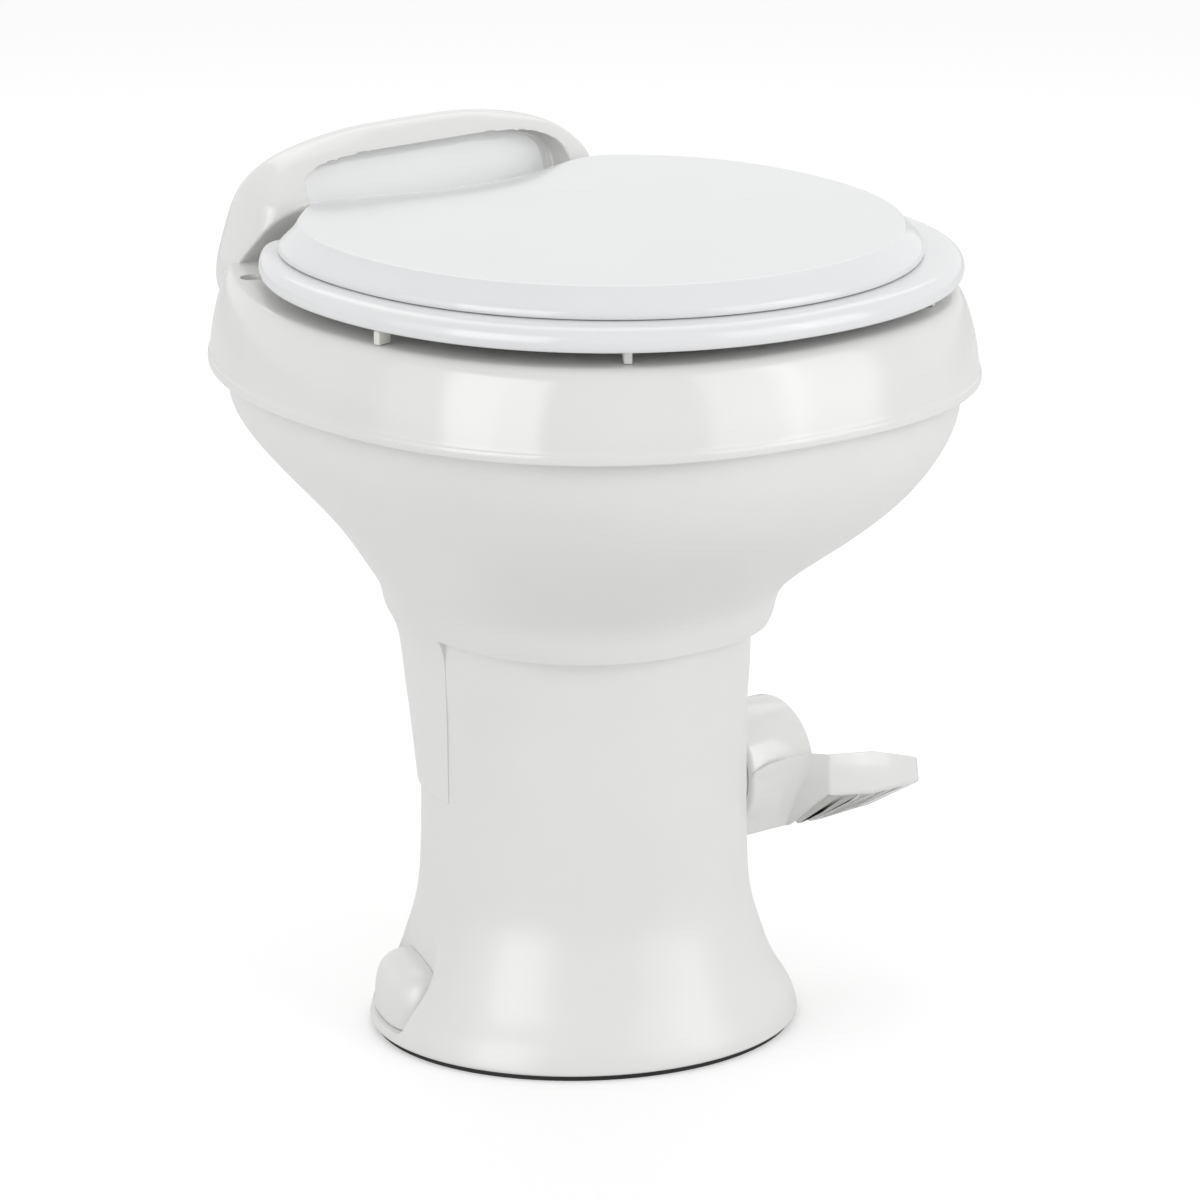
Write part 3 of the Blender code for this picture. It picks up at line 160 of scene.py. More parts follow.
# Soft elastomer of the seat's posts: off-white and satin
bumper_white = moulded("bumper_white_elastomer", "#E4E4E0", "#DDDDD8", 0.45, 0.6, 0.83 * MM, 0.05 * MM, 1.5)
# Zinc-plated steel of the screws, nuts and shaft: pale and satin, with lines along the work
plated_steel = metal("zinc_plated_steel", "#C9CBCD", "#A8ABAE", 0.25, 0.45, (1, 1, 6), 2.5 * MM)
# Turned brass of the bolts and the inlet: warm, with the lathe's rings
bolt_brass = metal("turned_brass", "#C9A55C", "#A98541", 0.22, 0.4, (1, 1, 10), 3.3 * MM)
finishes = {
    "white_plastic": deck_white,
    "seat_plastic": seat_white,
    "grey_plastic": working_grey,
    "black_rubber": gasket_black,
    "white_rubber": bumper_white,
    "steel": plated_steel,
    "brass": bolt_brass,
}
for row in frame["record"]["subparts"]:
    node = frame["nodes"][row["node"]]
    node.data.materials.clear()
    node.data.materials.append(finishes[row["material_slot"]])


# Modelling tools


def egg(half_width, front, rear, centre=0.0, front_power=2.0, rear_power=2.0):
    """An outline round the axis, widest at centre. It gives a point's X and Y for its turn round the axis."""

    def point(turn):
        across, along = cos(turn), sin(turn)
        power = rear_power if along > 0 else front_power
        reach = rear - centre if along > 0 else front + centre
        x = half_width * (1 if across > 0 else -1) * abs(across) ** (2 / power)
        y = reach * (1 if along > 0 else -1) * abs(along) ** (2 / power)
        return x, centre + y

    return point


def between(start, end, share):
    return start + share * (end - start)


def round_ring(radius):
    return egg(radius, radius, radius)


def level(outline, height):
    """Puts an outline's points at one height."""
    return lambda turn: (*outline(turn), height)


def at_height(put, height):
    """Moves a ring's points to another height."""
    return lambda turn: (*put(turn)[:2], height)


def corner_of(corners, turn):
    """The corner of a section that a ring's point goes to, by the turn that it started with."""
    count = len(corners)
    return corners[round(turn / (2 * pi / count) + count) % count]


def turned(rows):
    """Rings round the axis from rows of radius and height."""
    return [level(round_ring(radius), height) for radius, height in rows]


def move_ring(piece, put):
    """Moves the selected ring's points. Each point keeps the turn that it started with."""
    body = bmesh.from_edit_mesh(piece.data)
    turn = body.verts.layers.float["turn"]
    for point in body.verts:
        if point.select:
            point.co = put(point[turn])
    bmesh.update_edit_mesh(piece.data)


def start_ring(name, put, count=ring_count):
    bpy.ops.object.select_all(action="DESELECT")
    bpy.ops.mesh.primitive_circle_add(vertices=count, radius=1)
    piece = bpy.context.object
    piece.name = name
    bpy.ops.object.mode_set(mode="EDIT")
    bpy.ops.mesh.select_mode(type="EDGE")
    bpy.ops.mesh.select_all(action="SELECT")
    body = bmesh.from_edit_mesh(piece.data)
    turn = body.verts.layers.float.new("turn")
    for point in body.verts:
        point[turn] = atan2(point.co.y, point.co.x)
    bmesh.update_edit_mesh(piece.data)
    move_ring(piece, put)
    return piece


def stack(name, rings, closed=True, count=ring_count):
    """Extrudes a ring from level to level. A closed stack ends where it starts, and an open one is capped."""
    piece = start_ring(name, rings[0], count)
    if not closed:
        bpy.ops.mesh.edge_face_add()
        bpy.ops.mesh.region_to_loop()
    for put in rings[1:] + ([rings[0]] if closed else []):
        bpy.ops.mesh.extrude_edges_move()
        move_ring(piece, put)
    if not closed:
        bpy.ops.mesh.edge_face_add()
    bpy.ops.mesh.select_all(action="SELECT")
    bpy.ops.mesh.remove_doubles(threshold=weld)
    bpy.ops.mesh.normals_make_consistent(inside=False)
    bpy.ops.object.mode_set(mode="OBJECT")
    return piece


def only(piece):
    bpy.ops.object.select_all(action="DESELECT")
    piece.select_set(True)
    bpy.context.view_layer.objects.active = piece
    return piece


def apply(piece, kind, **settings):
    only(piece)
    change = piece.modifiers.new(kind.lower(), kind)
    for name, value in settings.items():
        setattr(change, name, value)
    bpy.ops.object.modifier_apply(modifier=change.name)
    return piece


def smoothed(piece, levels=smooth_levels):
    return apply(piece, "SUBSURF", levels=levels, render_levels=levels)


def take(piece, cutter, operation="DIFFERENCE"):
    """Cuts one piece from another, or joins it on, and clears it away."""
    apply(piece, "BOOLEAN", object=cutter, operation=operation, solver="EXACT")
    bpy.data.objects.remove(cutter, do_unlink=True)
    return piece


def block(low, high, round_by=0.0, segments=3):
    """A block between two corners, its edges rounded by a bevel."""
    bpy.ops.object.select_all(action="DESELECT")
    size = [b - a for a, b in zip(low, high)]
    middle = [(a + b) / 2 for a, b in zip(low, high)]
    bpy.ops.mesh.primitive_cube_add(size=1, location=middle, scale=size)
    bpy.ops.object.transform_apply(location=True, rotation=True, scale=True)
    if round_by:
        bpy.ops.object.mode_set(mode="EDIT")
        bpy.ops.mesh.bevel(offset=round_by, segments=segments, affect="EDGES")
        bpy.ops.object.mode_set(mode="OBJECT")
    return bpy.context.object


def bar(radius, start, end, round_by=0.0, count=ring_count):
    """A round bar from start to end, the edges of its ends rounded by a bevel."""
    bpy.ops.object.select_all(action="DESELECT")
    start, end = Vector(start), Vector(end)
    lie = (end - start).to_track_quat("Z", "Y").to_euler()
    bpy.ops.mesh.primitive_cylinder_add(
        vertices=count, radius=radius, depth=(end - start).length, location=(start + end) / 2, rotation=lie
    )
    bpy.ops.object.transform_apply(location=True, rotation=True, scale=True)
    piece = bpy.context.object
    if round_by:
        bpy.ops.object.mode_set(mode="EDIT")
        bpy.ops.mesh.select_all(action="DESELECT")
        body = bmesh.from_edit_mesh(piece.data)
        for edge in body.edges:
            edge.select = any(len(face.verts) > 4 for face in edge.link_faces)
        bmesh.update_edit_mesh(piece.data)
        bpy.ops.mesh.bevel(offset=round_by, segments=3, affect="EDGES")
        bpy.ops.object.mode_set(mode="OBJECT")
    return piece


def on_shaft(radius, start, end, round_by=0.0, count=ring_count):
    """A round bar on the flush shaft's line, from one X to another."""
    return bar(radius, (start, 0, shaft_z), (end, 0, shaft_z), round_by, count)


def upright(radius, spot, low, high):
    """A round bar that stands on a spot of the plan."""
    return bar(radius, (*spot, low), (*spot, high))


def span(start, end, side):
    """Two distances from the middle plane as X on one side, the smaller X first."""
    return sorted((start * side, end * side))


def middle_block(half_width, front, rear, bottom, top):
    """A block across the middle plane."""
    return block((-half_width, front, bottom), (half_width, rear, top))


def side_block(side, inner, outer, front, rear, bottom, top):
    """A block on one side, between two distances from the middle plane."""
    near, away = span(inner, outer, side)
    return block((near, front, bottom), (away, rear, top))


def hinge_lug(start, end, round_by):
    """A round lug on the hinge's line, from one X to another."""
    return bar(lug, (start, hinge_y, hinge_z), (end, hinge_y, hinge_z), round_by)


def swing(angle, side):
    """A turn round the axis to this angle behind the right side, or to its mirror image."""
    return Matrix.Rotation(angle if side > 0 else pi - angle, 4, "Z")


def done(piece, name, slot, body, *nodes, sharp=35, finish=None):
    """Names a finished piece, gives it its finish, and rides it on its body in place of the frame's nodes."""
    only(piece)
    piece.name = name
    bpy.ops.object.shade_smooth_by_angle(angle=radians(sharp))
    piece.data.materials.clear()
    piece.data.materials.append(finish or finishes[slot])
    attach(piece, body)
    if nodes:
        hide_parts(*nodes)
    return piece


# Pedestal

waist = 91 * MM
neck = 93 * MM
bore = 86.5 * MM
foot_bore = 84 * MM
foot_wide, foot_deep = 123 * MM, 116.4 * MM
edge_round = 1 * MM
flare_height = 85.6 * MM
# Share of the flare's height, and how far the foot spreads there
foot_flare = [
    (0.058, 1),
    (0.14, 0.946),
    (0.222, 0.83),
    (0.292, 0.695),
    (0.42, 0.48),
    (0.561, 0.345),
    (0.689, 0.22),
    (0.829, 0.108),
    (1, 0.03),
]
# Radius and height up the stand, over its rim, down its bore and over the ledge that holds the funnel
stand_rows = [
    (waist, 120 * MM),
    (waist, 182 * MM),
    ((waist + neck) / 2, 198 * MM),
    (neck, 212 * MM),
    (neck, pedestal_top - 2 * edge_round),
    (neck, pedestal_top - edge_round / 2),
    (neck - edge_round, pedestal_top),
    (bore + edge_round, pedestal_top),
    (bore, pedestal_top),
    (bore, pedestal_top - 2 * edge_round),
    (bore, 60 * MM),
    (bore, 58 * MM),
    (foot_bore, 58 * MM),
    (foot_bore, 56 * MM),
    (foot_bore, pedestal_foot),
]
# The boss that the pedal's hub runs on, with the bush's hole, and the smaller boss across the bore
boss, boss_inner, boss_outer = 31 * MM, 80 * MM, 97.5 * MM
left_boss, left_boss_outer, left_boss_inner = 21 * MM, -87 * MM, -82.3 * MM
bush_hole, bush_inner, bush_outer = 12.3 * MM, 76 * MM, 102 * MM
spool_x, spool_z, spool_hole = 72.85 * MM, 99.6 * MM, 4.6 * MM

# A flat in each side of the foot, turned towards the rear, carries a floor bolt under a cover
flat_turn = radians(23)
flat_distance = 94 * MM
flat_half_width, flat_bottom, flat_corner, flat_reach = 37 * MM, 9 * MM, 6 * MM, 125 * MM
bolt_distance, bolt_hole = 104.5 * MM, 3.9 * MM
below_floor, hole_top = -4 * MM, 12 * MM
# Reach from the foot's flat, half-width and height of a bolt cover, in millimetres
cover_rows = [
    (22, 34, 9.3),
    (23.6, 36, 9.3),
    (24, 36.4, 10),
    (24, 36.4, 18),
    (23.4, 36, 26),
    (21.6, 34.6, 33),
    (17.6, 31, 38.4),
    (11, 24, 41.2),
    (5, 14, 42),
]
cover_power = 2.8
cover_gap = 0.3 * MM
# Hollows inside a cover for the nut and for the bolt's end
nut_room, nut_room_top, bolt_room_top = 8.6 * MM, 17.7 * MM, 24.5 * MM


def bolt_spot(side):
    return side * bolt_distance * cos(flat_turn), bolt_distance * sin(flat_turn)


def drill_bolt_hole(piece, side):
    take(piece, upright(bolt_hole, bolt_spot(side), below_floor, hole_top))


def foot(spread, inset=0.0):
    """The foot's outline, from the waist's circle at no spread to the floor's ellipse at full spread."""
    deep = between(waist, foot_deep, spread) - inset
    return egg(between(waist, foot_wide, spread) - inset, deep, deep)


def make_pedestal():
    rings = [level(foot(1, 3 * edge_round), pedestal_foot), level(foot(1, edge_round), pedestal_foot)]
    rings.append(level(foot(1), pedestal_foot + edge_round))
    rings += [level(foot(spread), flare_height * share) for share, spread in foot_flare]
    piece = smoothed(stack("pedestal_shell", rings + turned(stand_rows)))
    take(piece, on_shaft(boss, boss_inner, boss_outer, edge_round), "UNION")
    take(piece, on_shaft(left_boss, left_boss_outer, left_boss_inner), "UNION")
    take(piece, on_shaft(bush_hole, bush_inner, bush_outer))
    take(piece, bar(spool_hole, (spool_x, 0, spool_z), (spool_x, waist, spool_z)))
    for side in sides.values():
        low = (flat_distance, -flat_half_width, flat_bottom)
        high = (flat_distance + flat_reach, flat_half_width, flare_height)
        flat = block(low, high, flat_corner, 4)
        flat.data.transform(swing(flat_turn, side))
        take(piece, flat)
        drill_bolt_hole(piece, side)
    done(piece, "pedestal_shell", "white_plastic", "toilet", "pedestal", finish=duller_white)


def make_gasket():
    inset = 3.6 * MM
    rings = [level(foot(1, inset), height) for height in (0, gasket_top / 2, gasket_top)]
    rings += turned([(foot_bore, gasket_top), (foot_bore, 0)])
    piece = stack("foot_gasket", rings, count=128)
    for side in sides.values():
        drill_bolt_hole(piece, side)
    done(piece, "foot_gasket", "black_rubber", "toilet", "base_gasket")


def make_bolt_covers():
    """A moulded dome over each floor bolt, cut flat at the back, where it meets the foot's flat."""
    far = 200 * MM
    for name, side in sides.items():
        rows = [[value * MM for value in row] for row in cover_rows]
        rings = [level(egg(reach, half, half, 0, cover_power, cover_power), z) for reach, half, z in rows]
        dome = smoothed(stack("bolt_cover", rings, closed=False))
        take(dome, block((-far, -far, -far), (cover_gap, far, far)))
        dome.data.transform(swing(flat_turn, side) @ Matrix.Translation((flat_distance, 0, 0)))
        take(dome, upright(nut_room, bolt_spot(side), 0, nut_room_top))
        take(dome, upright(bolt_hole, bolt_spot(side), 0, bolt_room_top))
        shell, node = "bolt_cover_shell_" + name, "bolt_cover_" + name
        done(dome, shell, "white_plastic", "toilet", node, finish=duller_white)


# Bowl

bowl_bore = 93.35 * MM
bowl_wide, bowl_front, bowl_rear, bowl_centre = 190 * MM, 208 * MM, 195 * MM, -14 * MM
bowl_top = 400.7 * MM
bowl_wall = 3.6 * MM
# The apron hugs the stand. Here it sinks into it by this much, so that no gap shows
apron_sink = 0.4 * MM
# Share of the height, then of the way from the bore to the full half-width, front, rear and centre, and
# the outline's power. The apron's rows rise to the stand's top, and the bowl's rows to its own
apron_rows = [
    (0, -0.02, 0.023, 0.026, 0, 2),
    (0.03, -0.018, 0.023, 0.028, 0, 2),
    (0.406, -0.016, 0.032, 0.09, 0, 2.1),
    (0.679, -0.006, 0.035, 0.129, 0, 2.2),
    (0.906, -0.001, 0.041, 0.174, 0, 2.2),
]
bowl_rows = [
    (0.012, 0.073, 0.067, 0.203, 0, 2.4),
    (0.083, 0.116, 0.08, 0.224, 0.07, 2.2),
    (0.154, 0.209, 0.167, 0.25, 0.21, 2.2),
    (0.237, 0.322, 0.326, 0.282, 0.57, 2.25),
    (0.32, 0.43, 0.504, 0.333, 0.93, 2.3),
    (0.408, 0.559, 0.676, 0.434, 1, 2.3),
    (0.497, 0.697, 0.822, 0.584, 1, 2.3),
    (0.615, 0.862, 0.942, 0.802, 0.86, 2.3),
    (0.746, 1, 1, 1, 0.86, 2.3),
    (0.899, 0.974, 0.983, 0.99, 0.86, 2.3),
    (0.986, 0.932, 0.948, 0.951, 0.86, 2.3),
]


def skin_ring(row, low, high, inset=0.0, rise=0.0):
    share, side, front, rear, centre, power = row
    outline = egg(
        between(bowl_bore, bowl_wide, side) - inset,
        between(bowl_bore, bowl_front, front) - inset,
        between(bowl_bore, bowl_rear, rear) - inset,
        bowl_centre * centre,
        power,
        power,
    )
    return level(outline, between(low, high, share) + rise)


# Radius and height down inside the bowl: the ledge that stands on the pedestal, and the apron's inside
bowl_ledge, ledge_wide, ledge_z = 81 * MM, 82 * MM, 236.3 * MM
bowl_inner_rows = [
    (bowl_ledge, 240.3 * MM),
    (bowl_ledge, 239.5 * MM),
    (bowl_ledge, ledge_z),
    (ledge_wide, ledge_z),
    (bowl_bore, ledge_z),
    (neck - apron_sink, 216 * MM),
    (waist + apron_sink, 198 * MM),
    (waist - apron_sink, 182 * MM),
    (waist - apron_sink, apron_bottom + edge_round),
    (waist - apron_sink, apron_bottom),
]
apron_front, apron_reach, below_apron = 6 * MM, 130 * MM, 120 * MM
# The hub turns in this round relief
hub_relief, relief_inner, relief_outer = 39 * MM, 73 * MM, 135 * MM


def make_bowl():
    lip = skin_ring(bowl_rows[-1], 0, 0)
    lip_inside = skin_ring(bowl_rows[-1], 0, 0, bowl_wall)
    rings = [skin_ring(row, apron_bottom, pedestal_top) for row in apron_rows]
    rings += [skin_ring(row, pedestal_top, bowl_top) for row in bowl_rows[:-1]]
    rings += [at_height(lip, bowl_top - edge_round), at_height(lip, bowl_top)]
    rings += [at_height(lip_inside, bowl_top), at_height(lip_inside, bowl_top - edge_round)]
    # Every second row is enough for the inner wall
    rings += [skin_ring(row, pedestal_top, bowl_top, bowl_wall, bowl_wall) for row in bowl_rows[-3:1:-2]]
    piece = smoothed(stack("bowl_shell", rings + turned(bowl_inner_rows)))
    take(piece, block((-apron_reach, -apron_reach, below_apron), (apron_reach, apron_front, skirt_bottom)))
    take(piece, on_shaft(hub_relief, relief_inner, relief_outer, count=round_count))
    done(piece, "bowl_shell", "white_plastic", "toilet", "bowl", finish=duller_white)


basin_wide, basin_front, basin_rear, opening_centre = 142 * MM, 170 * MM, 62 * MM, -40 * MM
basin_wall = 3.6 * MM
spout, spout_outside, spout_lip, spout_top = 28 * MM, 32.5 * MM, 177.3 * MM, 187.3 * MM
# Radius and height down the spout, over its lip and up its outside
spout_rows = [
    (spout, spout_top),
    (spout, spout_lip + edge_round),
    (spout, spout_lip),
    (spout_outside, spout_lip),
    (spout_outside, spout_lip + edge_round),
    (spout_outside, spout_top),
]
flange_levels = [401 * MM, 402.2 * MM, 403.4 * MM]
rim_round, mouth_round = 2.9 * MM, 3 * MM
nozzle_hole, nozzle_z, nozzle_start, nozzle_end = 6.2 * MM, 384 * MM, 53.3 * MM, 69.3 * MM
# Shares as in the bowl's rows, from the mouth down to the spout
basin_rows = [
    (0.968, 0.998, 0.998, 1, 1, 2.2),
    (0.849, 0.982, 0.993, 0.98, 0.975, 2.2),
    (0.702, 0.895, 0.887, 0.93, 0.85, 2.15),
    (0.546, 0.746, 0.69, 0.83, 0.625, 2.1),
    (0.39, 0.553, 0.451, 0.68, 0.375, 2.05),
    (0.243, 0.351, 0.246, 0.486, 0.15, 2),
    (0.115, 0.167, 0.109, 0.29, 0.025, 2),
    (0.032, 0.048, 0.032, 0.11, 0, 2),
]


def basin_ring(row, grow=0.0):
    share, side, front, rear, centre, power = row
    outline = egg(
        between(spout, basin_wide, side) + grow,
        between(spout, basin_front, front) + grow,
        between(spout, basin_rear, rear) + grow,
        opening_centre * centre,
        power,
        power,
    )
    return level(outline, between(spout_top, rim_top, share) - grow)


def make_basin():
    flange = skin_ring(bowl_rows[-1], 0, 0)
    mouth, *wall_rows = basin_rows
    rings = [at_height(flange, height) for height in flange_levels]
    rings += [
        at_height(skin_ring(bowl_rows[-1], 0, 0, rim_round), rim_top),
        at_height(basin_ring(mouth, mouth_round), rim_top),
        at_height(basin_ring(mouth), rim_top - edge_round),
    ]
    rings += [basin_ring(row) for row in wall_rows]
    rings += turned(spout_rows)
    rings += [basin_ring(row, basin_wall) for row in reversed(wall_rows)]
    rings.append(at_height(basin_ring(mouth, basin_wall), flange_levels[0] + edge_round))
    rings.append(at_height(basin_ring(mouth, 2 * basin_wall), flange_levels[0]))
    piece = smoothed(stack("basin_liner", rings))
    take(piece, bar(nozzle_hole, (0, nozzle_start, nozzle_z), (0, nozzle_end, nozzle_z)))
    done(piece, "basin_liner", "white_plastic", "toilet", "basin")


# Deck ring and hood

# Height, half-width, front and rear of the hood, in millimetres. It leans back as it rises
hood_rows = [
    (380, 104, 116, 178),
    (392, 117, 116, 186),
    (404, 124.5, 116, 190.4),
    (413, 126, 116, 191),
    (424, 124.5, 117, 190.6),
    (432, 122, 118, 190),
    (441, 119.4, 118, 189),
    (456, 116.5, 120, 184),
    (464.6, 111, 126, 180.5),
    (472.4, 102.5, 135, 175),
    (479.2, 90, 140.5, 170),
    (484.4, 66, 147, 167.5),
    (487.4, 46, 150.5, 164.5),
    (488.6, 28, 153.5, 161.5),
]
hood_power = 4
# Share of the window's outline, and the Y that its cutter has there, in millimetres. Rows behind leans_behind
# lean back as the hood does. The panel lines the window's back
window_rows = [(1, 60), (1, 139), (0.995, 141.4), (0.975, 142.8), (0.93, 143), (0.5, 143)]
panel_rows = [(0.5, 142.2), (0.9, 142.2), (0.925, 142.5), (0.93, 143.2), (0.5, 143.2)]
window_half, window_sill, window_rise, window_lean = 92 * MM, 452 * MM, 25.5 * MM, 9 * MM
window_top_power, leans_behind = 4, 100
# Y and Z round the cutter that slopes the fronts of the hood's legs, in millimetres
leg_slope = [(103, 463), (120, 463), (150, 424), (150, 410), (103, 410)]
leg_slope_half = 125 * MM
# Room for the rear of the lid and of the seat to swing between the hood's legs, and the trough in the deck
# for their lugs: half-width, front, rear, bottom and top
lid_swing = (92 * MM, 84 * MM, 128 * MM, 400 * MM, 453 * MM)
leg_swing = (119 * MM, 84 * MM, 134 * MM, 400 * MM, deck_top)
trough = (119 * MM, 84 * MM, 134 * MM, 410 * MM, 440 * MM)

deck_half, deck_front, deck_rear, deck_middle = 199 * MM, 216 * MM, 228 * MM, -12 * MM
deck_power, deck_back = 2.33, 216 * MM
# Height and inset up the deck's band, from its lower lip to the top, in millimetres
band_rows = [
    (374.5, 2),
    (374.5, 0.7),
    (375.6, 0),
    (379.2, 0),
    (380.2, 0.6),
    (381, 1.3),
    (386, 1.6),
    (400, 3.6),
    (411, 6.6),
    (418, 9),
    (421.6, 11.2),
    (423.6, 14),
    (424, 18),
]
# Height, and how far the opening has grown there, down its wall and up the wall's outside, in millimetres
opening_rows = [(424, 2), (423, 0), (406.3, 0), (405.3, 0), (405.3, 4), (407, 4), (419, 4), (419.6, 6)]
# Height and inset down the band's inside, in millimetres
band_inner_rows = [(419.6, 19), (416, 16), (411, 11), (400, 8), (386, 5.6), (376, 4.6), (374.5, 4.4)]
opening_half, opening_front, opening_rear, opening_power = 140 * MM, 168 * MM, 60 * MM, 2.2
screw_recess, screw_x, screw_y, screw_floor, above_deck = 7 * MM, 138 * MM, 118 * MM, 419 * MM, 440 * MM
# The tray under the hinges: inset from the deck's outline, greatest half-width, front, bottom and top
tray_inset, tray_half, tray_front, tray_bottom, tray_top = 10 * MM, 168 * MM, 76 * MM, 405.6 * MM, 410 * MM
# The hood is remeshed at this size, to melt its cuts into one moulding
hood_voxel, hood_softening = 1 * MM, 12


def deck_outline(inset):
    ring = egg(deck_half - inset, deck_front - inset, deck_rear - inset, deck_middle, deck_power)

    def point(turn):
        x, y = ring(turn)
        return x, min(y, deck_back - inset)

    return point


def opening_outline(grow):
    reach = [size + grow for size in (opening_half, opening_front, opening_rear)]
    return egg(*reach, opening_centre, opening_power, opening_power)


def hood_ring(row):
    z, wide, front, rear = [value * MM for value in row]
    return level(egg(wide, -front, rear, (front + rear) / 2, hood_power, hood_power), z)


def make_deck():
    rings = [level(deck_outline(inset * MM), z * MM) for z, inset in band_rows]
    rings += [level(opening_outline(grow * MM), z * MM) for z, grow in opening_rows]
    rings += [level(deck_outline(inset * MM), z * MM) for z, inset in band_inner_rows]
    piece = smoothed(stack("deck_ring", rings))
    take(piece, middle_block(*trough))
    for side in sides.values():
        take(piece, upright(screw_recess, (screw_x * side, screw_y), screw_floor, above_deck))

    def tray(turn):
        x, y = deck_outline(tray_inset)(turn)
        return max(-tray_half, min(tray_half, x)), max(y, tray_front)

    take(piece, stack("tray", [level(tray, tray_bottom), level(tray, tray_top)], closed=False), "UNION")
    done(piece, "deck_ring", "white_plastic", "toilet", "deck")


def window(row):
    """A ring round the window, standing upright across the hood, for its cutter and for its panel."""
    share, back = row
    rise = window_rise * share
    outline = egg(window_half * share, rise, rise, 0, 2, window_top_power)

    def point(turn):
        x, up = outline(turn)
        lean = window_lean * up / window_rise if back > leans_behind else 0
        return x, back * MM + lean, window_sill + up

    return point


def leg_slope_ring(x):
    """The section at one X of the cutter that slopes the fronts of the hood's legs."""
    return lambda turn: (x, *[value * MM for value in corner_of(leg_slope, turn)])


def make_hood():
    piece = smoothed(stack("hood", [hood_ring(row) for row in hood_rows], closed=False))
    # A sheet over the window's back in the whiter colour: a painted highlight, not a separate material
    panel = stack("hood_panel_painted_highlight", [window(row) for row in panel_rows], closed=False, count=round_count)
    done(panel, "hood_panel_painted_highlight", "white_plastic", "toilet", finish=panel_painted_white)
    take(piece, stack("window_cutter", [window(row) for row in window_rows], closed=False, count=round_count))
    take(piece, middle_block(*lid_swing))
    take(piece, middle_block(*leg_swing))
    slope = [leg_slope_ring(-leg_slope_half), leg_slope_ring(leg_slope_half)]
    take(piece, stack("leg_cutter", slope, closed=False, count=len(leg_slope)))
    apply(piece, "REMESH", mode="VOXEL", voxel_size=hood_voxel)
    apply(piece, "SMOOTH", factor=0.5, iterations=hood_softening)
    done(piece, "hood", "white_plastic", "toilet", sharp=60)


# Seat and lid

seat_half, seat_front, seat_rear, seat_middle = 189 * MM, 213 * MM, 165 * MM, -22 * MM
seat_front_power, seat_rear_power = 2.14, 2.1
hole_half, hole_front, hole_rear, hole_middle, hole_power = 104 * MM, 158 * MM, 58 * MM, -32 * MM, 2.1
# Height and inset up the seat's outside and over its top, in millimetres
seat_rows = [
    (432, 9),
    (432, 4),
    (432.8, 1.6),
    (435, 0),
    (438.4, -0.3),
    (441.6, 0.6),
    (444, 2.8),
    (445.2, 6.4),
    (445.2, 11),
]
# Height, and how far the hole has grown there, from the top down, in millimetres
seat_hole_rows = [(445.2, 9), (445.2, 6), (443.6, 2.4), (440, 0), (435, 0.2), (432.4, 2), (432, 5)]
seat_cut_low, seat_cut_high, seat_cut_far = 420 * MM, 460 * MM, 400 * MM
# The seat ends at one Y at its rear corners, and at another between them
corners_end, middle_half, middle_end = 108 * MM, 119 * MM, 97 * MM
# Each hinge post stands in a notch, between these distances from the middle, and the seat's lug is outside it
notch_inner, notch_outer, notch_front = 50.4 * MM, 76.3 * MM, 82.4 * MM
seat_lug_start, seat_lug_end, seat_lug_edge = 76.4 * MM, 89 * MM, 0.8 * MM

# X and Y of the right-hand bumpers, and the way each faces, square to the seat's edge
bumper_spots = {
    "front": (104 * MM, -166 * MM, radians(-58)),
    "middle": (178 * MM, -52 * MM, radians(-8)),
}
bumper_half_width, bumper_half_depth, bumper_edge, bumper_gap = 4.5 * MM, 2.2 * MM, 0.7 * MM, 0.3 * MM

lid_half, lid_front, lid_rear, lid_middle = 172 * MM, 195 * MM, 150 * MM, -14.2 * MM
lid_front_power, lid_rear_power = 2.06, 2.3
# The lid's rear edge bows in at the middle, to follow the hood. Its corners round off, to clear the deck
# when the lid is up
lid_end, bow_depth, bow_half = 119 * MM, 21 * MM, 82 * MM
corner_from, corner_to, corner_depth = 100 * MM, 121 * MM, 19.845 * MM
# Distances from the middle of the posts' room and of the lugs' webs, then their front, rear, bottom and top
post_room = (62.4 * MM, 77.6 * MM, 100 * MM, 123 * MM, 438 * MM, 457 * MM)
lug_web = (52 * MM, 63.6 * MM, 84 * MM, 100 * MM, hinge_z, 458.6 * MM)
lid_lug_edge = 0.6 * MM
# Height, inset all round and inset of the rear edge, up the lid's outside, in millimetres. The crease where
# its border meets its top is at 461
lid_rows = [
    (445.5, 3, 3),
    (445.5, 0.8, 1.2),
    (446.2, 0.1, 0.2),
    (448, 0, 0),
    (449.8, 0.5, 0.3),
    (451.6, 1.9, 1),
    (454.4, 4.9, 2.2),
    (457.2, 7.9, 3.4),
    (459.6, 9.7, 4.6),
    (461, 10.5, 5.4),
    (461.5, 11.2, 6),
    (461.6, 12.4, 6.6),
    (461.7, 18, 8),
    (462, 34, 10),
    (462.8, 80, 14),
    (463, 112, 17),
    (463.05, 150, 17),
]
# The same from the middle of the hollow underneath out to the lower edge
lid_hollow = [
    (458.9, 150, 20),
    (458.8, 60, 16),
    (457.6, 22, 12),
    (456, 13, 9),
    (452, 7.6, 6),
    (448, 4.6, 4.6),
    (446, 5, 5),
]


def seat_outline(inset):
    reach = [size - inset for size in (seat_half, seat_front, seat_rear)]
    return egg(*reach, seat_middle, seat_front_power, seat_rear_power)


def seat_hole(grow):
    reach = [size + grow for size in (hole_half, hole_front, hole_rear)]
    return egg(*reach, hole_middle, hole_power, hole_power)


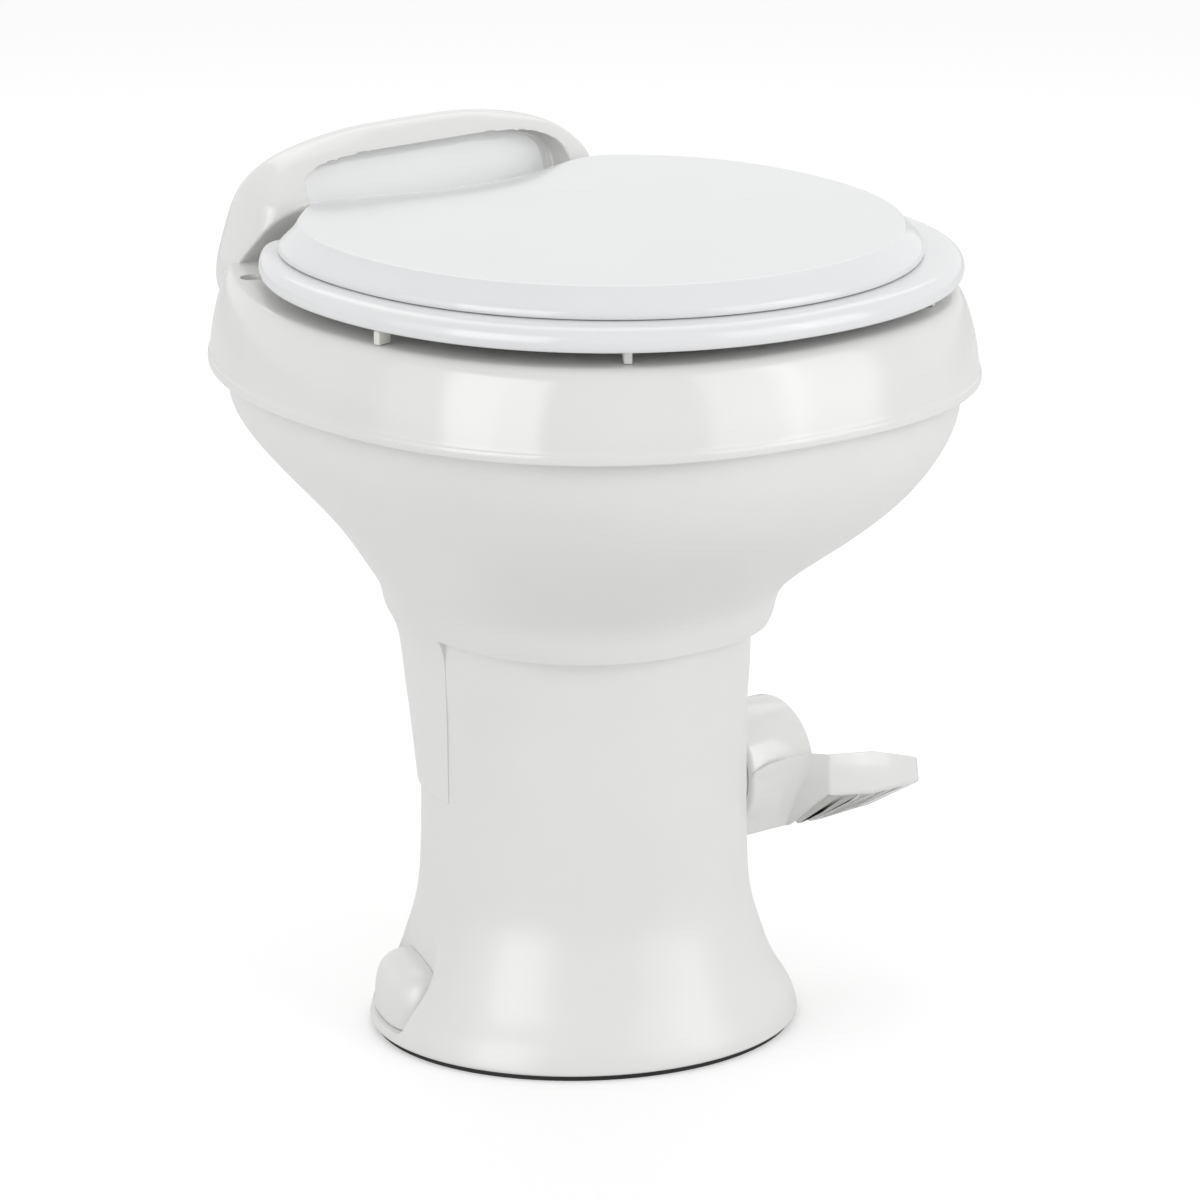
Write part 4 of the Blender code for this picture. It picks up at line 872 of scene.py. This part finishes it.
def make_seat():
    rings = [level(seat_outline(inset * MM), z * MM) for z, inset in seat_rows]
    rings += [level(seat_hole(grow * MM), z * MM) for z, grow in seat_hole_rows]
    piece = smoothed(stack("seat_ring", rings))
    cut = seat_cut_far, seat_cut_low, seat_cut_high
    take(piece, middle_block(seat_cut_far, corners_end, *cut))
    take(piece, middle_block(middle_half, middle_end, *cut))
    for side in sides.values():
        take(piece, side_block(side, notch_inner, notch_outer, notch_front, *cut))
        take(piece, hinge_lug(side * seat_lug_start, side * seat_lug_end, seat_lug_edge), "UNION")
    done(piece, "seat_ring", "seat_plastic", "seat", "seat")


def make_bumpers():
    """Slim moulded posts under the seat, each with its own rounded edges."""
    low = (-bumper_half_width, -bumper_half_depth, deck_top + bumper_gap)
    high = (bumper_half_width, bumper_half_depth, seat_bottom - bumper_gap)
    for name, side in sides.items():
        for where, (x, y, facing) in bumper_spots.items():
            post = block(low, high, bumper_edge)
            post.data.transform(Matrix.Translation((side * x, y, 0)) @ swing(facing, side))
            done(post, f"bumper_post_{name}_{where}", "white_rubber", "seat", f"seat_bumper_{name}_{where}")


def lid_outline(inset, rear_inset):
    reach = [size - inset for size in (lid_half, lid_front, lid_rear)]
    ring = egg(*reach, lid_middle, lid_front_power, lid_rear_power)

    def point(turn):
        x, y = ring(turn)
        bow = max(0, 1 - (x / bow_half) ** 2)
        corner = (min(max(abs(x), corner_from), corner_to) - corner_from) / (corner_to - corner_from)
        return x, min(y, lid_end - bow_depth * bow - corner_depth * corner**2 - rear_inset)

    return point


def make_lid():
    rings = [level(lid_outline(inset * MM, rear * MM), z * MM) for z, inset, rear in lid_hollow + lid_rows]
    piece = smoothed(stack("lid_shell", rings, closed=False))
    web_inner, web_outer, *web_place = lug_web
    for side in sides.values():
        take(piece, side_block(side, *post_room))
        take(piece, side_block(side, web_inner, web_outer, *web_place), "UNION")
        take(piece, hinge_lug(*span(web_inner, web_outer, side), lid_lug_edge), "UNION")
    done(piece, "lid_shell", "seat_plastic", "lid", "lid")


# Pedal

# X, then Y and Z of the section's four corners, from the pedal's root to its tip, in millimetres
pedal_rows = [
    (93.6, (-36, 129), (-22, 90), (0, 97), (-36, 133)),
    (104, (-38, 129.5), (-22, 90), (10, 100), (-39, 137)),
    (118, (-42, 130), (-24, 91), (10, 102), (-44, 140)),
    (126, (-46, 128), (-25, 91.5), (7, 104), (-49, 141)),
    (132, (-57.5, 117), (-22, 90), (4, 106), (-56.5, 141)),
    (160, (-64, 115.4), (-14, 86), (-3, 99), (-61.5, 139)),
    (188, (-64.5, 115.4), (-13, 87), (-5, 96), (-62, 131)),
    (195, (-61.5, 114), (-15, 88), (-9, 96), (-59.5, 128)),
    (198, (-57, 112), (-21, 91.5), (-17, 97), (-55.5, 124)),
]
pedal_edge = 1.5 * MM
hub, hub_inner, hub_outer, hub_edge = 36 * MM, 93.6 * MM, 139 * MM, 2.4 * MM
# Radius and ends of the hub's socket, which runs on the boss, of its screw's well and of the shaft's hole
socket = (31.6 * MM, 90 * MM, 98.2 * MM)
screw_well = (22 * MM, 129 * MM, 145 * MM)
shaft_hole = (7.3 * MM, 90 * MM, 132 * MM)
# Pockets along the pedal's sloping underside leave ribs between them
pocket_start, pocket_end, pocket_count, rib = 131.8 * MM, 188.4 * MM, 5, 2.4 * MM
pocket_half, pocket_low, pocket_high, pocket_edge = 25 * MM, -12 * MM, 9 * MM, 0.8 * MM
pocket_spot, pocket_slope = (0, -37.5 * MM, 100 * MM), atan2(-30, 51)


def pedal_section(row):
    x, *corners = row
    return lambda turn: (x * MM, *[value * MM for value in corner_of(corners, turn)])


def make_pedal():
    piece = on_shaft(hub, hub_inner, hub_outer, hub_edge, round_count)
    lever = stack("lever", [pedal_section(row) for row in pedal_rows], closed=False, count=4)
    apply(lever, "BEVEL", width=pedal_edge, segments=3, limit_method="ANGLE", angle_limit=radians(40))
    take(piece, lever, "UNION")
    take(piece, on_shaft(*socket, count=round_count))
    pitch = (pocket_end - pocket_start) / pocket_count
    onto_slope = Matrix.Translation(pocket_spot) @ Matrix.Rotation(pocket_slope, 4, "X")
    for place in range(pocket_count):
        start = pocket_start + place * pitch
        low = (start, -pocket_half, pocket_low)
        high = (start + pitch - rib, pocket_half, pocket_high)
        pocket = block(low, high, pocket_edge, 2)
        pocket.data.transform(onto_slope)
        take(piece, pocket)
    take(piece, on_shaft(*screw_well, count=64))
    take(piece, on_shaft(*shaft_hole))
    done(piece, "foot_pedal", "white_plastic", "flush", "pedal")


# Floor, lamps and camera

# The photograph's view: where the camera stands, what it faces and how far its frame is lifted, in metres
azimuth, elevation = radians(-38.9), radians(15.51)
distance, aim, lift = 4.074, Vector((0, -0.0144, 0.223)), 0.0209
photo_pixels, focal_pixels, sensor = 1200, 7358, 36
# The camera sees the floor brighter than the lamps leave it, nearly white, and with its shadow
floor_size, floor_glow = 60, 0.26
# What the white room gives as light. What the camera and reflections see of it is white
room_light = 0.75
lamp_aim = Vector((0, 0, 0.25))
# Name, place, width, height and watts of each lamp, in metres
lamps = [
    ("top_box", (1.0, 1.3, 2.3), 2.2, 2.2, 12),
    ("left_box", (-2.5, 0.3, 0.9), 2.0, 2.2, 12),
    ("right_box", (0.7, -2.4, 1.1), 1.4, 2.2, 16),
]
# Name, place, width, height and brightness of each card, in metres
cards = [
    ("left_card", (-2.44, -0.56, 1.0), 1.7, 2.0, 2.6),
    ("right_card", (1.5, -2.0, 1.0), 1.0, 2.0, 1.9),
]


def make_floor():
    bpy.ops.object.select_all(action="DESELECT")
    bpy.ops.mesh.primitive_plane_add(size=floor_size)
    floor = bpy.context.object
    floor.name = "floor"
    made, tree, shader, _ = surface("studio_floor", Roughness=0.9)
    shader.inputs["Base Color"].default_value = linear("#EAEAEA")
    white = add(tree, "ShaderNodeEmission", {"Strength": floor_glow})
    lifted = add(tree, "ShaderNodeAddShader")
    tree.links.new(shader.outputs["BSDF"], lifted.inputs[0])
    tree.links.new(white.outputs["Emission"], lifted.inputs[1])
    path = add(tree, "ShaderNodeLightPath")
    mixed = add(tree, "ShaderNodeMixShader", Fac=path.outputs["Is Camera Ray"])
    tree.links.new(shader.outputs["BSDF"], mixed.inputs[1])
    tree.links.new(lifted.outputs["Shader"], mixed.inputs[2])
    tree.links.new(mixed.outputs["Shader"], tree.nodes["Material Output"].inputs["Surface"])
    floor.data.materials.append(made)


def make_lamp(name, place, width, height, watts):
    bpy.ops.object.light_add(type="AREA", location=place)
    lamp = bpy.context.object
    lamp.name = name
    lamp.data.shape = "RECTANGLE"
    lamp.data.size, lamp.data.size_y = width, height
    lamp.data.energy = watts
    lamp.rotation_euler = (lamp_aim - Vector(place)).to_track_quat("-Z", "Y").to_euler()
    return lamp


def make_card(name, place, width, height, glow):
    """A lamp that shows only as a reflection in the gloss, as a soft box does beside a white surround."""
    lamp = make_lamp(name, place, width, height, glow * pi * width * height)
    lamp.visible_diffuse = False


def make_world():
    world = bpy.data.worlds.new("studio")
    bpy.context.scene.world = world
    world.use_nodes = True
    tree = world.node_tree
    ground = tree.nodes["Background"]
    ground.inputs["Color"].default_value = (1, 1, 1, 1)
    path = add(tree, "ShaderNodeLightPath")
    seen = path.outputs["Is Camera Ray"]
    for ray in ("Is Glossy Ray", "Is Transmission Ray"):
        either = add(tree, "ShaderNodeMath", {"operation": "MAXIMUM"})
        tree.links.new(seen, either.inputs[0])
        tree.links.new(path.outputs[ray], either.inputs[1])
        seen = either.outputs["Value"]
    strength = add(tree, "ShaderNodeMapRange", {"To Min": room_light, "To Max": 1}, Value=seen)
    tree.links.new(strength.outputs["Result"], ground.inputs["Strength"])


def make_camera():
    back = Vector((sin(azimuth) * cos(elevation), -cos(azimuth) * cos(elevation), sin(elevation)))
    right = Vector((cos(azimuth), sin(azimuth), 0))
    up = back.cross(right)
    bpy.ops.object.camera_add()
    camera = bpy.context.object
    facing = Matrix((right, up, back)).transposed().to_4x4()
    camera.matrix_world = Matrix.Translation(aim + back * distance + up * lift) @ facing
    camera.data.sensor_width = sensor
    camera.data.lens = sensor * focal_pixels / photo_pixels
    camera.data.clip_end = 200
    bpy.context.scene.camera = camera


make_pedestal()
make_gasket()
make_bolt_covers()
make_bowl()
make_basin()
make_deck()
make_hood()
make_seat()
make_bumpers()
make_lid()
make_pedal()
make_floor()
for lamp in lamps:
    make_lamp(*lamp)
for card in cards:
    make_card(*card)
make_world()
make_camera()
bpy.context.scene.view_settings.view_transform = "Standard"
